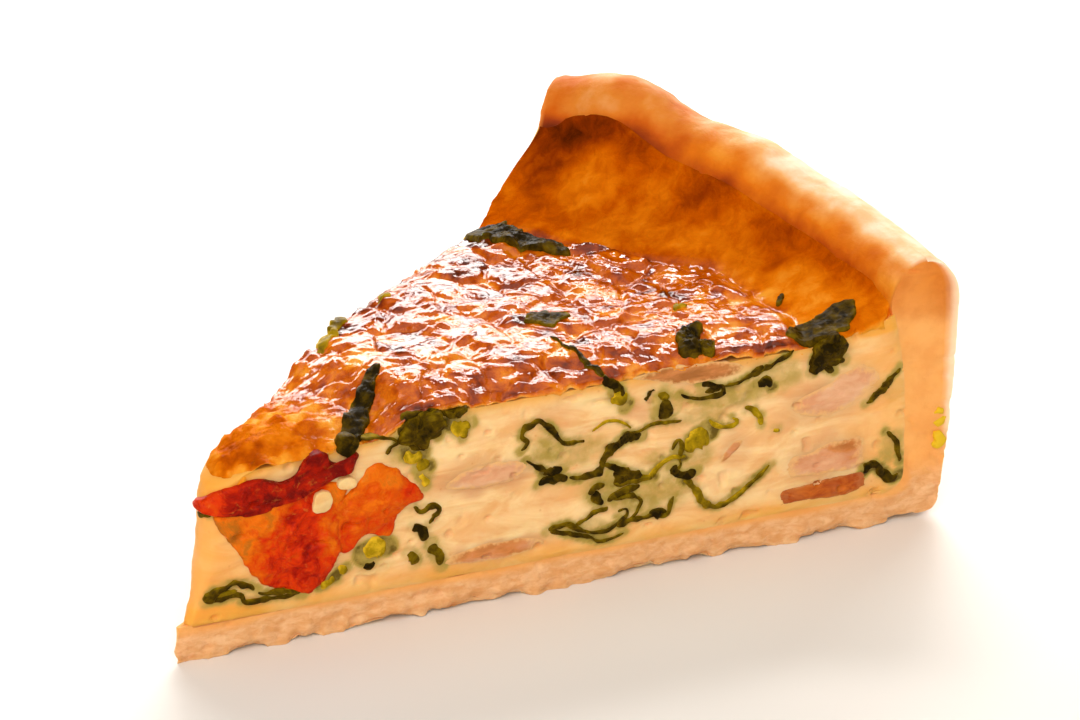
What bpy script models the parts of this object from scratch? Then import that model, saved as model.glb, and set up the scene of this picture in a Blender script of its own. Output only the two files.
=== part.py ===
"""A slice of quiche, one eighth of a 21 cm tart, standing on its crust.

The slice is worked out in a frame of its own: the tip of the wedge on the Z axis, the front cut
face in the plane y = 0, and the back cut face turned from it by SLICE_ANGLE. At the end all of it
moves together, so that the origin is the bottom centre of the slice's bounding box.
"""
import math
from typing import NamedTuple

import bmesh
import bpy
from mathutils import Matrix, Vector, noise

MM = 0.001

# Driving dimensions of the slice.
SLICE_ANGLE = math.radians(41.5)
TIP_RADIUS = 0.4 * MM          # the tip is crumbled off this far from the point of the wedge
TIP_STEP = 0.5 * MM            # how much farther in each layer of the tip starts than the one below
GAP = 0.3 * MM                 # left between pieces that touch
POCKET_EXTRA = 0.05 * MM       # added to the gap round the pieces baked in
END_LEAN = 0.042               # share of its angle by which the wall's back end leans in
LEAN_START = 30.0 * MM         # heights between which that lean sets in
LEAN_END = 40.0 * MM

# Pastry base and wall.
BASE_THICKNESS = 4.8 * MM
FOOT_RADIUS = 104.9 * MM       # outside of the wall where it leaves the base
OUTER_RADIUS = 106.4 * MM      # outside of the wall at its shoulder
INNER_RADIUS = 99.1 * MM       # inside of the wall above the base
LIP_RADIUS = 96.5 * MM         # inside of the wall at its shoulder, where the rim rolls over
HEEL_RADIUS = 2.2 * MM         # rounding between the base and the outside of the wall
BULGE_HEIGHT = 0.6             # share of the shoulder's height where the outside is widest
HEEL_START = 92.0 * MM         # from here out the underside lifts off the table
HEEL_LIFT = 0.6 * MM
CORNER_RADIUS = 2.6 * MM       # rounding between the base and the inside of the wall
SHOULDER_HEIGHT = 30.5 * MM    # where the rim starts to roll, at the front cut
NARROWING_HEIGHT = 12.0 * MM   # above this the inside of the wall leans in towards the lip
RIM_ROLL = 5.9 * MM            # height of the roll above the shoulder

# The rim climbs evenly from the front cut to the back cut, with three crests on the way.
RIM_CLIMB = 6.8 * MM
CRESTS = (                     # angle from the front cut and half width in degrees, height
    (12.0, 6.0, 0.7 * MM),
    (22.0, 5.0, 1.9 * MM),
    (34.2, 5.8, 3.9 * MM),
)
LIP_SWELL = 1.3 * MM           # how far the lip bulges in, halfway round

# Custard filling.
FILLING_TIP = 4.0 * MM         # radius of the tip at the top of the filling
TIP_HEIGHT = 23.8 * MM
STEP_START = 25.0 * MM         # the top steps up between these two radii
STEP_END = 33.0 * MM
STEP_FOOT = 25.5 * MM
FILLING_HEIGHT = 27.8 * MM
CLIMB_OVER = 0.6 * MM          # the filling climbs the wall to this far above the shoulder
CLIMB_POWER = 1.7              # the climb is part a power curve and part a quarter circle
CLIMB_STEEP = 0.4
CLIMB_STARTS = (               # angle in degrees, radius where the climb starts
    (0.0, 83.0 * MM),
    (8.0, 84.2 * MM),
    (16.0, 85.2 * MM),
    (25.0, 81.2 * MM),
    (33.0, 78.6 * MM),
    (41.5, 78.6 * MM),
)
TOP_UNEVENNESS = 0.35 * MM
UNEVENNESS_SIZE = 9.0 * MM

# Detail of the faceted solids.
TURN_STEPS = 22                # sections from the front cut to the back cut
CORNER_STEPS = 4
ROLL_STEPS = 10
WALL_STEPS = 6
CLIMB_STEPS = 6
TOP_STEPS = 12
PRISM_STEPS = 4
LUMP_SEGMENTS = 15
LUMP_RINGS = 8
LUMPINESS = 2.1                # how quickly a lump's outline goes in and out
BLOCK_EDGE = 0.7 * MM
SEED_STEP = 3.7                # keeps the noise of one piece apart from the next one's
SHARP_ANGLE = math.radians(40)

# The cake-slice-shaped tool that trims pieces flush with both cuts.
PRISM_TIP = 0.0002 * MM
PRISM_RADIUS = 104.0 * MM
PRISM_BOTTOM = -5.0 * MM
PRISM_TOP = 60.0 * MM


class Lump(NamedTuple):
    """An uneven rounded body: its centre, half sizes and turn, in millimetres and degrees."""
    centre: tuple
    half: tuple
    turn: tuple = (0.0, 0.0, 0.0)
    unevenness: float = 0.36
    square: bool = False


# What shows on the front cut: the centre's radius, depth and height, then the half sizes along
# the face, into the slice and upwards.
FRONT_PIECES = {
    "tomato": [
        Lump((22.0, 0.0, 14.6), (10.0, 6.4, 8.0), (0.0, -14.0, 0.0), 0.30),
        Lump((13.6, 0.0, 21.2), (9.9, 5.0, 2.2), (0.0, -9.0, 0.0), 0.15),
    ],
    "bacon_block": [Lump((88.0, 0.0, 9.6), (5.7, 5.5, 3.8), (0.0, -2.0, 4.0), square=True)],
    "bacon_wall": [Lump((89.6, 0.0, 19.7), (4.9, 4.5, 2.7), (0.0, -12.0, 6.0), square=True)],
    "bacon_under_top": [Lump((68.4, 0.0, 26.0), (7.3, 5.0, 0.8), (0.0, 0.0, 5.0), square=True)],
    "bacon_streak": [Lump((40.5, 0.0, 17.6), (4.7, 4.0, 1.35), (0.0, 2.0, -6.0), square=True)],
    "bacon_low": [Lump((42.3, 0.0, 7.2), (5.6, 4.5, 0.95), (0.0, 0.0, 3.0), square=True)],
    "bacon_sliver": [Lump((74.0, 0.0, 14.9), (1.9, 3.5, 2.2), (0.0, 8.0, 0.0), square=True)],
    "spinach_base": [Lump((9.6, 0.0, 7.4), (5.6, 2.4, 1.2), (0.0, 5.0, 0.0))],
    "spinach_loop": [Lump((49.8, 0.0, 19.4), (4.8, 4.2, 4.2), (0.0, 20.0, 0.0))],
    "spinach_fold": [Lump((63.4, 0.0, 16.0), (7.4, 4.8, 4.8), (0.0, -18.0, 0.0))],
    "spinach_hem": [Lump((58.6, 0.0, 8.2), (10.4, 4.4, 1.9), (0.0, 2.0, 0.0), 0.20)],
    "spinach_row": [Lump((71.5, 0.0, 23.5), (8.6, 3.6, 1.15), (0.0, 0.0, 0.0), 0.18)],
    "spinach_hook": [Lump((96.1, 0.0, 10.0), (2.1, 2.6, 3.2))],
    "spinach_step": [Lump((33.0, 0.0, 25.6), (3.4, 4.2, 2.9))],
    "spinach_corner": [Lump((88.2, 0.0, 27.6), (4.4, 4.6, 3.4), (0.0, -24.0, 0.0))],
}

# What shows on the back cut, in the same terms.
BACK_PIECES = {
    "bacon_back_tip": [Lump((31.0, 0.0, 12.4), (5.8, 4.5, 2.3), (0.0, 4.0, 0.0), square=True)],
    "bacon_back_middle": [Lump((63.0, 0.0, 19.4), (5.2, 5.0, 2.9), (0.0, -6.0, 0.0), square=True)],
    "bacon_back_low": [Lump((83.5, 0.0, 9.2), (6.2, 5.0, 2.4), (0.0, 3.0, 0.0), square=True)],
    "spinach_back_tip": [Lump((24.0, 0.0, 18.8), (6.6, 3.6, 2.6), (0.0, 8.0, 0.0))],
    "spinach_back_fold": [Lump((48.0, 0.0, 13.4), (8.8, 4.6, 4.6), (0.0, 14.0, 0.0))],
    "spinach_back_wall": [Lump((84.0, 0.0, 19.6), (8.0, 4.4, 3.3), (0.0, -10.0, 0.0))],
}

# What lies on the baked top, pressed a little way in.
TOP_PIECES = {
    "spinach_strip": [Lump((25.9, 4.7, 26.4), (1.7, 6.6, 1.4), (-7.0, 0.0, -32.0))],
    "spinach_tuft": [Lump((70.0, 3.8, 29.0), (2.7, 3.4, 1.6), (0.0, 0.0, -20.0))],
    "spinach_middle": [Lump((55.9, 16.6, 28.2), (3.6, 1.9, 1.1), (0.0, 0.0, 8.0))],
    "spinach_rear": [Lump((62.2, 44.6, 28.4), (3.4, 8.2, 1.7), (0.0, 0.0, 35.0))],
}

# Colour and roughness of each kind of piece, chosen by the first word of its name.
FINISHES = {
    "crust": ((0.72, 0.42, 0.18), 0.75),
    "custard": ((0.86, 0.66, 0.38), 0.45),
    "tomato": ((0.62, 0.08, 0.02), 0.30),
    "bacon": ((0.72, 0.42, 0.32), 0.40),
    "spinach": ((0.08, 0.12, 0.02), 0.40),
}


def smoothstep(value):
    """Ease from 0 to 1 as the value goes from 0 to 1, flat outside."""
    value = min(max(value, 0.0), 1.0)
    return value * value * (3.0 - 2.0 * value)


def rim_lift(angle):
    """How much higher the shoulder is at this angle than at the front cut."""
    lift = RIM_CLIMB * angle / SLICE_ANGLE
    for centre, width, height in CRESTS:
        lift += height * math.exp(-((math.degrees(angle) - centre) / width) ** 2)
    return lift


def lip_radius(angle):
    """The lip bulges in between the two cuts."""
    return LIP_RADIUS - LIP_SWELL * math.sin(math.pi * angle / SLICE_ANGLE)


def inner_radius(height, angle):
    """Inside of the wall: upright at first, then leaning in by a square law up to the lip."""
    shoulder = SHOULDER_HEIGHT + rim_lift(angle)
    share = max(height - NARROWING_HEIGHT, 0.0) / (shoulder - NARROWING_HEIGHT)
    return INNER_RADIUS - (INNER_RADIUS - lip_radius(angle)) * share ** 2


def climb_start(angle):
    """Radius where the filling starts to climb the wall, by straight lines between the table's."""
    degrees = math.degrees(angle)
    for (before, start), (after, end) in zip(CLIMB_STARTS, CLIMB_STARTS[1:]):
        if degrees <= after:
            return start + (end - start) * (degrees - before) / (after - before)
    return CLIMB_STARTS[-1][1]


def filling_height(radius, angle):
    """Top of the filling: rising from the tip, a step up, level, then climbing the wall."""
    slope = (STEP_FOOT - TIP_HEIGHT) * min(radius / STEP_START, 1.0)
    step = (FILLING_HEIGHT - STEP_FOOT) * smoothstep((radius - STEP_START) / (STEP_END - STEP_START))
    start = climb_start(angle)
    share = min(max((radius - start) / (lip_radius(angle) - start), 0.0), 1.0)
    curve = (1.0 - CLIMB_STEEP) * share ** CLIMB_POWER
    curve += CLIMB_STEEP * (1.0 - math.sqrt(1.0 - share ** 2))
    climb = SHOULDER_HEIGHT + rim_lift(angle) + CLIMB_OVER - FILLING_HEIGHT
    return TIP_HEIGHT + slope + step + climb * curve


def arc(centre_r, centre_z, half_r, half_z, start, end, steps=CORNER_STEPS):
    """Points along an ellipse in the section plane, from one angle to another in degrees."""
    turns = [math.radians(start + (end - start) * step / steps) for step in range(steps + 1)]
    return [(centre_r + half_r * math.cos(t), centre_z + half_z * math.sin(t)) for t in turns]


def crust_section(angle):
    """Outline of base, wall and rolled rim: along the underside, up outside, over, down inside."""
    shoulder = SHOULDER_HEIGHT + rim_lift(angle)
    lip = lip_radius(angle)
    middle = (OUTER_RADIUS + lip) / 2
    underside = [(TIP_RADIUS, 0.0), (HEEL_START, 0.0)]
    heel = arc(FOOT_RADIUS - HEEL_RADIUS, HEEL_LIFT + HEEL_RADIUS, HEEL_RADIUS, HEEL_RADIUS, -90, 0)
    outside = [(OUTER_RADIUS, BULGE_HEIGHT * shoulder)]
    roll = arc(middle, shoulder, OUTER_RADIUS - middle, RIM_ROLL, 0, 180, ROLL_STEPS)
    corner_top = BASE_THICKNESS + CORNER_RADIUS
    fall = [shoulder + (corner_top - shoulder) * step / WALL_STEPS for step in range(1, WALL_STEPS)]
    inside = [(inner_radius(height, angle), height) for height in fall]
    corner = arc(INNER_RADIUS - CORNER_RADIUS, corner_top, CORNER_RADIUS, CORNER_RADIUS, 0, -90)
    base_top = [(INNER_RADIUS / 2, BASE_THICKNESS), (TIP_RADIUS + TIP_STEP, BASE_THICKNESS)]
    return underside + heel + outside + roll + inside + corner + base_top


def custard_section(angle):
    """Outline of the filling: along the base, up the wall, back over the top, down the tip."""
    floor = BASE_THICKNESS + GAP
    corner_top = BASE_THICKNESS + CORNER_RADIUS
    radius = CORNER_RADIUS - GAP
    tip = [(TIP_RADIUS + 2 * TIP_STEP, floor)]
    corner = arc(INNER_RADIUS - CORNER_RADIUS, corner_top, radius, radius, -90, 0)
    wall_top = filling_height(lip_radius(angle), angle)
    rise = [corner_top + (wall_top - corner_top) * step / WALL_STEPS
            for step in range(1, WALL_STEPS + 1)]
    wall = [(inner_radius(height, angle) - GAP, height) for height in rise]
    edge = wall[-1][0]
    foot = climb_start(angle)
    reaches = [edge + (foot - edge) * step / CLIMB_STEPS for step in range(1, CLIMB_STEPS + 1)]
    reaches += [foot + (FILLING_TIP - foot) * step / TOP_STEPS for step in range(1, TOP_STEPS + 1)]
    top = []
    for reach in reaches:
        place = Vector((reach * math.cos(angle), reach * math.sin(angle), 0.0)) / UNEVENNESS_SIZE
        top.append((reach, filling_height(reach, angle) + TOP_UNEVENNESS * noise.noise(place)))
    return tip + corner + wall + top


def prism_section(_angle):
    """Outline of the trimming tool."""
    return [(PRISM_TIP, PRISM_BOTTOM), (PRISM_RADIUS, PRISM_BOTTOM), (PRISM_RADIUS, PRISM_TOP),
            (PRISM_TIP, PRISM_TOP)]


def leaning(angle, height, lean):
    """The angle of a point after the lean, which sets in between two heights."""
    return angle * (1.0 - lean * smoothstep((height - LEAN_START) / (LEAN_END - LEAN_START)))


def loft(name, section, collection, steps=TURN_STEPS, lean=END_LEAN):
    """Closed body through the sections at equal turns about Z, with a cut at each end."""
    mesh_builder = bmesh.new()
    rings = []
    for step in range(steps + 1):
        angle = SLICE_ANGLE * step / steps
        ring = []
        for r, z in section(angle):
            turn = leaning(angle, z, lean)
            ring.append(mesh_builder.verts.new((r * math.cos(turn), r * math.sin(turn), z)))
        rings.append(ring)
    count = len(rings[0])
    for here, there in zip(rings, rings[1:]):
        for index in range(count):
            after = (index + 1) % count
            mesh_builder.faces.new((here[index], here[after], there[after], there[index]))
    caps = [mesh_builder.faces.new(rings[0]), mesh_builder.faces.new(rings[-1])]
    bmesh.ops.triangulate(mesh_builder, faces=caps)
    return finish_mesh(name, mesh_builder, collection)


def finish_mesh(name, mesh_builder, collection):
    """Turn the faces outwards and put the mesh in an object in the collection."""
    bmesh.ops.recalc_face_normals(mesh_builder, faces=mesh_builder.faces)
    mesh = bpy.data.meshes.new(name)
    mesh_builder.to_mesh(mesh)
    mesh_builder.free()
    thing = bpy.data.objects.new(name, mesh)
    collection.objects.link(thing)
    return thing


def lump_body(name, lump, seed, margin, collection):
    """One uneven ellipsoid or bevelled block, grown by the margin on every side.

    A piece and its pocket are split into triangles along the same diagonals, so that they match.
    """
    mesh_builder = bmesh.new()
    if lump.square:
        bmesh.ops.create_cube(mesh_builder, size=2.0)
    else:
        bmesh.ops.create_uvsphere(
            mesh_builder, u_segments=LUMP_SEGMENTS, v_segments=LUMP_RINGS, radius=1.0)
    half = Vector(lump.half) * MM + Vector((margin, margin, margin))
    for vertex in mesh_builder.verts:
        uneven = 1.0
        if not lump.square:
            uneven += lump.unevenness * noise.noise(vertex.co * LUMPINESS + Vector((seed, 0.0, 0.0)))
        vertex.co = Vector(side * size for side, size in zip(vertex.co, half)) * uneven
    if lump.square:
        edges = list(mesh_builder.edges)
        bmesh.ops.bevel(
            mesh_builder, geom=edges, offset=BLOCK_EDGE, segments=1, profile=0.5, affect="EDGES")
    bmesh.ops.triangulate(mesh_builder, faces=mesh_builder.faces, quad_method="FIXED")
    thing = finish_mesh(name, mesh_builder, collection)
    turn = [math.radians(degrees) for degrees in lump.turn]
    rotation = Matrix.Rotation(turn[2], 4, "Z") @ Matrix.Rotation(turn[1], 4, "Y")
    rotation = rotation @ Matrix.Rotation(turn[0], 4, "X")
    thing.matrix_world = Matrix.Translation(Vector(lump.centre) * MM) @ rotation
    return thing


def add_boolean(thing, operation, operand):
    """Boolean modifier with the exact solver."""
    modifier = thing.modifiers.new(operation.lower(), "BOOLEAN")
    modifier.operation = operation
    modifier.solver = "EXACT"
    if isinstance(operand, bpy.types.Collection):
        modifier.operand_type = "COLLECTION"
        modifier.collection = operand
    else:
        modifier.object = operand


def apply_modifiers(thing):
    """Replace the object's mesh by its evaluated one, at the origin, with no modifiers."""
    bpy.context.view_layer.update()
    evaluated = thing.evaluated_get(bpy.context.evaluated_depsgraph_get())
    mesh = bpy.data.meshes.new_from_object(evaluated)
    mesh.transform(thing.matrix_world)
    thing.modifiers.clear()
    thing.data = mesh
    thing.matrix_world = Matrix.Identity(4)


def hide_tool(thing):
    """A cutter is drawn as wire and left out of renders."""
    thing.hide_render = True
    thing.display_type = "WIRE"


def baked_piece(name, lumps, turn, seed, slice_prism, parts, pockets):
    """One piece flush with the cuts, and the slightly larger pocket that the custard gets."""
    for purpose, margin, home in ((name, 0.0, parts), (name + "_pocket", GAP + POCKET_EXTRA, pockets)):
        bodies = [lump_body(purpose, lump, seed, margin, home) for lump in lumps]
        for body in bodies:
            body.matrix_world = Matrix.Rotation(turn, 4, "Z") @ body.matrix_world
        body = bodies[0]
        for extra in bodies[1:]:
            add_boolean(body, "UNION", extra)
        if home is parts:
            add_boolean(body, "INTERSECT", slice_prism)
            apply_modifiers(body)
            body.data.shade_smooth()
            body.data.set_sharp_from_angle(angle=SHARP_ANGLE)
        else:
            apply_modifiers(body)
            hide_tool(body)
        for extra in bodies[1:]:
            bpy.data.objects.remove(extra)


def finish_material(thing, kind):
    """Give the object its own Principled material with its kind's colour and roughness."""
    colour, roughness = FINISHES[kind]
    material = bpy.data.materials.new(thing.name)
    material.use_nodes = True
    shader = material.node_tree.nodes["Principled BSDF"]
    shader.inputs["Base Color"].default_value = (*colour, 1.0)
    shader.inputs["Roughness"].default_value = roughness
    shader.inputs["Metallic"].default_value = 0.0
    thing.data.materials.clear()
    thing.data.materials.append(material)


def stand_on_origin(parts):
    """Move every piece together, so that the origin is the bottom centre of their box."""
    bpy.context.view_layer.update()
    corners = [thing.matrix_world @ vertex.co for thing in parts for vertex in thing.data.vertices]
    low = Vector(min(corner[axis] for corner in corners) for axis in range(3))
    high = Vector(max(corner[axis] for corner in corners) for axis in range(3))
    middle = (low + high) / 2
    shift = Matrix.Translation((-middle.x, -middle.y, -low.z))
    for thing in parts:
        thing.data.transform(shift)


def build():
    """Make the slice."""
    for thing in list(bpy.data.objects):
        bpy.data.objects.remove(thing)
    parts = bpy.data.collections.new("quiche_slice")
    cutters = bpy.data.collections.new("cutters")
    pockets = bpy.data.collections.new("pockets")
    bpy.context.scene.collection.children.link(parts)
    bpy.context.scene.collection.children.link(cutters)
    cutters.children.link(pockets)

    crust = loft("crust", crust_section, parts)
    custard = loft("custard", custard_section, parts)
    slice_prism = loft("slice_prism", prism_section, cutters, PRISM_STEPS, 0.0)
    hide_tool(slice_prism)

    faces = ((FRONT_PIECES, 0.0), (BACK_PIECES, SLICE_ANGLE), (TOP_PIECES, 0.0))
    seed = 0.0
    for pieces, turn in faces:
        for name, lumps in pieces.items():
            seed += SEED_STEP
            baked_piece(name, lumps, turn, seed, slice_prism, parts, pockets)

    add_boolean(custard, "DIFFERENCE", pockets)
    apply_modifiers(custard)
    for thing in (crust, custard):
        thing.data.shade_smooth()
        thing.data.set_sharp_from_angle(angle=SHARP_ANGLE)
    for thing in parts.objects:
        finish_material(thing, thing.name.split("_")[0])
    stand_on_origin(parts.objects)


build()
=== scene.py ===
"""A slice of quiche: browned pastry, set custard, and the spinach, bacon and tomato baked into it.

Shapes are worked out in the slice's own frame, in millimetres: the point of the wedge is at zero,
the front cut lies in the plane y = 0, and the back cut is turned from it by SLICE_ANGLE. `place`
puts them in the frame of the CAD model.
"""
import math

import bpy
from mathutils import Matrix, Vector
import numpy as np


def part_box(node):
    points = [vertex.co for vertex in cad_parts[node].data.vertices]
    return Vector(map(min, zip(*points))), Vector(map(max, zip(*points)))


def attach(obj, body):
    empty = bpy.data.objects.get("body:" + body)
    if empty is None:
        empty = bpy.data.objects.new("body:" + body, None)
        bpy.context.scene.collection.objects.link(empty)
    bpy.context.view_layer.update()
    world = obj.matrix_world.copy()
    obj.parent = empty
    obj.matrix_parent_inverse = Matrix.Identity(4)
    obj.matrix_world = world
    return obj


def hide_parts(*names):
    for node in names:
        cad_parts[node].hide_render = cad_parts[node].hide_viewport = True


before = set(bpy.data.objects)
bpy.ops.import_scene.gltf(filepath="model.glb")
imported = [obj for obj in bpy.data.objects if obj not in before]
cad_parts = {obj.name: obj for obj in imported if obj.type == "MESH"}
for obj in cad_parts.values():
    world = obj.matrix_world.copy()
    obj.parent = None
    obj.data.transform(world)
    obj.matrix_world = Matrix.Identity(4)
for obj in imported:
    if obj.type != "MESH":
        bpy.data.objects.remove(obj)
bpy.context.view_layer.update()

MM = 0.001

# ---------------------------------------------------------------- sizes, read from the frame
crust_low, crust_high = (np.array(corner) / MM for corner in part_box("crust"))
SLICE_ANGLE = math.radians(41.5)
OUTER_RADIUS = (crust_high[1] - crust_low[1]) / math.sin(SLICE_ANGLE)
APEX = np.array([crust_high[0] - OUTER_RADIUS, crust_low[1], crust_low[2]])

TIP_RADIUS = 0.2
BASE_THICKNESS = 4.8
FOOT_RADIUS = OUTER_RADIUS - 1.5
INNER_RADIUS = OUTER_RADIUS - 7.3
LIP_RADIUS = OUTER_RADIUS - 9.9
HEEL_RADIUS = 2.2
HEEL_START = 92.0
HEEL_LIFT = 0.6
CORNER_RADIUS = 2.6
NARROWING_HEIGHT = 12.0
RIM_ROLL = 5.9
SHOULDER_HEIGHT = 30.5
RIM_CLIMB = 6.8
CRESTS = ((12.0, 6.0, 0.7), (22.0, 5.0, 1.9), (34.2, 5.8, 3.9))
LIP_SWELL = 1.3

TIP_CORNERS = ((5.0, 7.0, 10.0, 15.0, 20.0, 25.0), (1.0, 1.4, 1.9, 2.5, 2.8, 3.5))
SKIN_CORNER = 3.6
SIGHT = math.radians(23.0)     # angle at which places on the rounded tip are measured
TIP_HEIGHT = 23.8
STEP_START = 25.0
STEP_END = 33.0
STEP_FOOT = 25.5
FILLING_HEIGHT = 27.8
WALL_FEET = ((0.0, 8.0, 16.0, 25.0, 33.0, 41.5), (83.0, 84.2, 85.2, 81.2, 78.6, 78.6))
CLIMB_OVER = 0.6
CLIMB_POWER = 1.7
CLIMB_STEEP = 0.4              # how much of the climb ends upright, against the lip
TIP_DROP = 1.7
TIP_ROUND = 2.6
END_LEAN = 0.042               # how far the wall's back end leans in, as a share of its angle

# ---------------------------------------------------------------- noise on arrays
LATTICE_SIZE = 64
LATTICE = np.random.default_rng(11).uniform(-1.0, 1.0, (LATTICE_SIZE,) * 3)
SCATTER = np.random.default_rng(12).uniform(0.0, 1.0, (LATTICE_SIZE, LATTICE_SIZE, 3))


def noise(points, cell, shift=0.0):
    """Value noise from -1 to 1: random values on a lattice of that cell, eased between corners."""
    scaled = np.asarray(points) / cell + shift
    corner = np.floor(scaled).astype(int)
    part = scaled - corner
    part = part ** 3 * (part * (part * 6.0 - 15.0) + 10.0)
    total = np.zeros(scaled.shape[:-1])
    for step in np.ndindex(2, 2, 2):
        weight = np.prod(np.where(np.array(step) == 1, part, 1.0 - part), axis=-1)
        index = (corner + step) % LATTICE_SIZE
        total += weight * LATTICE[index[..., 0], index[..., 1], index[..., 2]]
    return total


def fractal(points, cell, octaves=4, shift=0.0):
    """Sum of noise at halving cells and halving strengths."""
    total = 0.0
    for octave in range(octaves):
        total = total + noise(points, cell / 2 ** octave, shift + 5.3 * octave) / 2 ** octave
    return total


def scattered(flat, cell, shift=0.0):
    """Distances to the nearest and the second nearest scattered centre, in cells, and a random
    value that belongs to the nearest."""
    scaled = np.asarray(flat)[..., :2] / cell + shift
    corner = np.floor(scaled).astype(int)
    near = np.full(scaled.shape[:-1], 9.0)
    second = near.copy()
    value = np.zeros_like(near)
    for step in np.ndindex(3, 3):
        square = corner + np.array(step) - 1
        centre = SCATTER[square[..., 0] % LATTICE_SIZE, square[..., 1] % LATTICE_SIZE]
        gap = np.linalg.norm(square + centre[..., :2] - scaled, axis=-1)
        closer = gap < near
        second = np.where(closer, near, np.minimum(second, gap))
        value = np.where(closer, centre[..., 2], value)
        near = np.where(closer, gap, near)
    return near, second, value


def smoothstep(low, high, value):
    """0 below low, 1 above high, eased between."""
    share = np.clip((value - low) / (high - low), 0.0, 1.0)
    return share * share * (3.0 - 2.0 * share)


def lerp(start, end, share):
    """Straight line from start to end."""
    return start + (end - start) * share


# ---------------------------------------------------------------- the slice's outlines
def rim_lift(angle):
    """Even climb from the front cut to the back cut, plus a bell curve for each crest."""
    lift = RIM_CLIMB * angle / SLICE_ANGLE
    for centre, width, height in CRESTS:
        lift = lift + height * np.exp(-((np.degrees(angle) - centre) / width) ** 2)
    return lift


def lip_radius(angle):
    """The lip bulges in between the two cuts by a half sine wave."""
    return LIP_RADIUS - LIP_SWELL * np.sin(np.pi * angle / SLICE_ANGLE)


def inner_radius(height, angle):
    """Inside of the wall: upright at first, then leaning in by a square law up to the lip."""
    shoulder = SHOULDER_HEIGHT + rim_lift(angle)
    share = np.clip((height - NARROWING_HEIGHT) / (shoulder - NARROWING_HEIGHT), 0.0, 1.0)
    return INNER_RADIUS - (INNER_RADIUS - lip_radius(angle)) * share ** 2


def tip_corner(height):
    """Radius of the rounded corner where the two cuts meet, greater higher up."""
    return np.interp(height, *TIP_CORNERS)


def tip_reach(corner, angle):
    """Distance from the point of the wedge to a corner of that radius, in a direction.

    The round touches both cuts, so its centre lies on the line halfway between them.
    """
    centre = corner / math.sin(SLICE_ANGLE / 2)
    turn = angle - SLICE_ANGLE / 2
    beside = np.clip(corner ** 2 - (centre * np.sin(turn)) ** 2, 0.0, None)
    return centre * np.cos(turn) - np.sqrt(beside)


def wall_foot(angle):
    """Radius where the filling starts to climb the wall."""
    return np.interp(np.degrees(angle), *WALL_FEET)


def filling_height(radius, angle):
    """Top of the filling: round at the tip, rising, a step up, level, then climbing the wall."""
    slope = (STEP_FOOT - TIP_HEIGHT) * np.clip(radius / STEP_START, 0.0, 1.0)
    step = (FILLING_HEIGHT - STEP_FOOT) * smoothstep(STEP_START, STEP_END, radius)
    climb = SHOULDER_HEIGHT + rim_lift(angle) + CLIMB_OVER - FILLING_HEIGHT
    foot = wall_foot(angle)
    share = np.clip((radius - foot) / (lip_radius(angle) - foot), 0.0, 1.0)
    share = lerp(share ** CLIMB_POWER, 1.0 - np.sqrt(1.0 - share ** 2), CLIMB_STEEP)
    from_tip = np.clip((radius - tip_reach(SKIN_CORNER, angle)) / TIP_ROUND, 0.0, 1.0)
    return TIP_HEIGHT + slope + step + climb * share - TIP_DROP * (1.0 - from_tip) ** 2


def turned(radius, height, angle):
    """Points at a radius and a height, turned about the point of the wedge.

    The wall's end by the back cut leans in: above the filling its angle shrinks a little.
    """
    angle = angle * (1.0 - END_LEAN * smoothstep(30.0, 40.0, height))
    return np.stack([radius * np.cos(angle), radius * np.sin(angle), height + 0.0 * radius], axis=-1)


def on_cut(side, along, into, up):
    """Points on the front (0) or back (1) cut: along it, into the slice and upwards.

    Short of the rounded tip's start a place is where a line at the angle SIGHT to the cut's
    normal meets the round.
    """
    along, into, up = np.broadcast_arrays(along, into, up)
    corner = tip_corner(up)
    start = corner / math.tan(SLICE_ANGLE / 2)
    short = np.clip((start - along) / corner, 0.0, 0.99 * (math.tan(SIGHT) + 1.0 / math.cos(SIGHT)))
    turn = SIGHT + np.arcsin((short - math.tan(SIGHT)) * math.cos(SIGHT))
    inside = corner - into
    along = start - inside * np.sin(turn) + np.clip(along - start, 0.0, None)
    into = corner - inside * np.cos(turn)
    if side == 0:
        return np.stack([along, into, up], axis=-1)
    cosine, sine = math.cos(SLICE_ANGLE), math.sin(SLICE_ANGLE)
    return np.stack([along * cosine + into * sine, along * sine - into * cosine, up], axis=-1)


def cut_depth(points):
    """Distance into the slice from the nearer cut."""
    back = points[..., 0] * math.sin(SLICE_ANGLE) - points[..., 1] * math.cos(SLICE_ANGLE)
    return np.minimum(points[..., 1], back)


def cut_outward(points, corner):
    """Unit normals, pointing out, of the nearer cut and of the rounded corner at the tip."""
    cosine, sine = math.cos(SLICE_ANGLE), math.sin(SLICE_ANGLE)
    x, y = points[..., 0], points[..., 1]
    from_back = x * sine - y * cosine
    by_front = y <= from_back
    along = np.where(by_front, x, x * cosine + y * sine)
    short = np.clip(corner / math.tan(SLICE_ANGLE / 2) - along, 0.0, None)
    rest = np.clip(corner - np.minimum(y, from_back), 1e-6, None)
    size = np.hypot(short, rest)
    along, into = -short / size, -rest / size
    flat = np.where(by_front, along, along * cosine + into * sine)
    aside = np.where(by_front, into, along * sine - into * cosine)
    return np.stack([flat, aside, 0.0 * flat], axis=-1)


def cut_relief(points):
    """How far custard stands out of a cut: soft hollows, level drag marks, grain, a few holes."""
    hollows = 0.20 * noise(points, 7.0, 2.0) + 0.10 * noise(points * (1.0, 1.0, 2.6), 3.4, 3.0)
    drag = 0.07 * fractal(points * (0.45, 0.45, 2.8), 2.6, 3, 6.0)
    grain = 0.035 * fractal(points, 0.9, 2, 8.0)
    holes = -0.5 * smoothstep(0.66, 0.95, noise(points * (1.0, 1.0, 1.3), 1.7, 12.0))
    return hollows + drag + grain + holes


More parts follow.
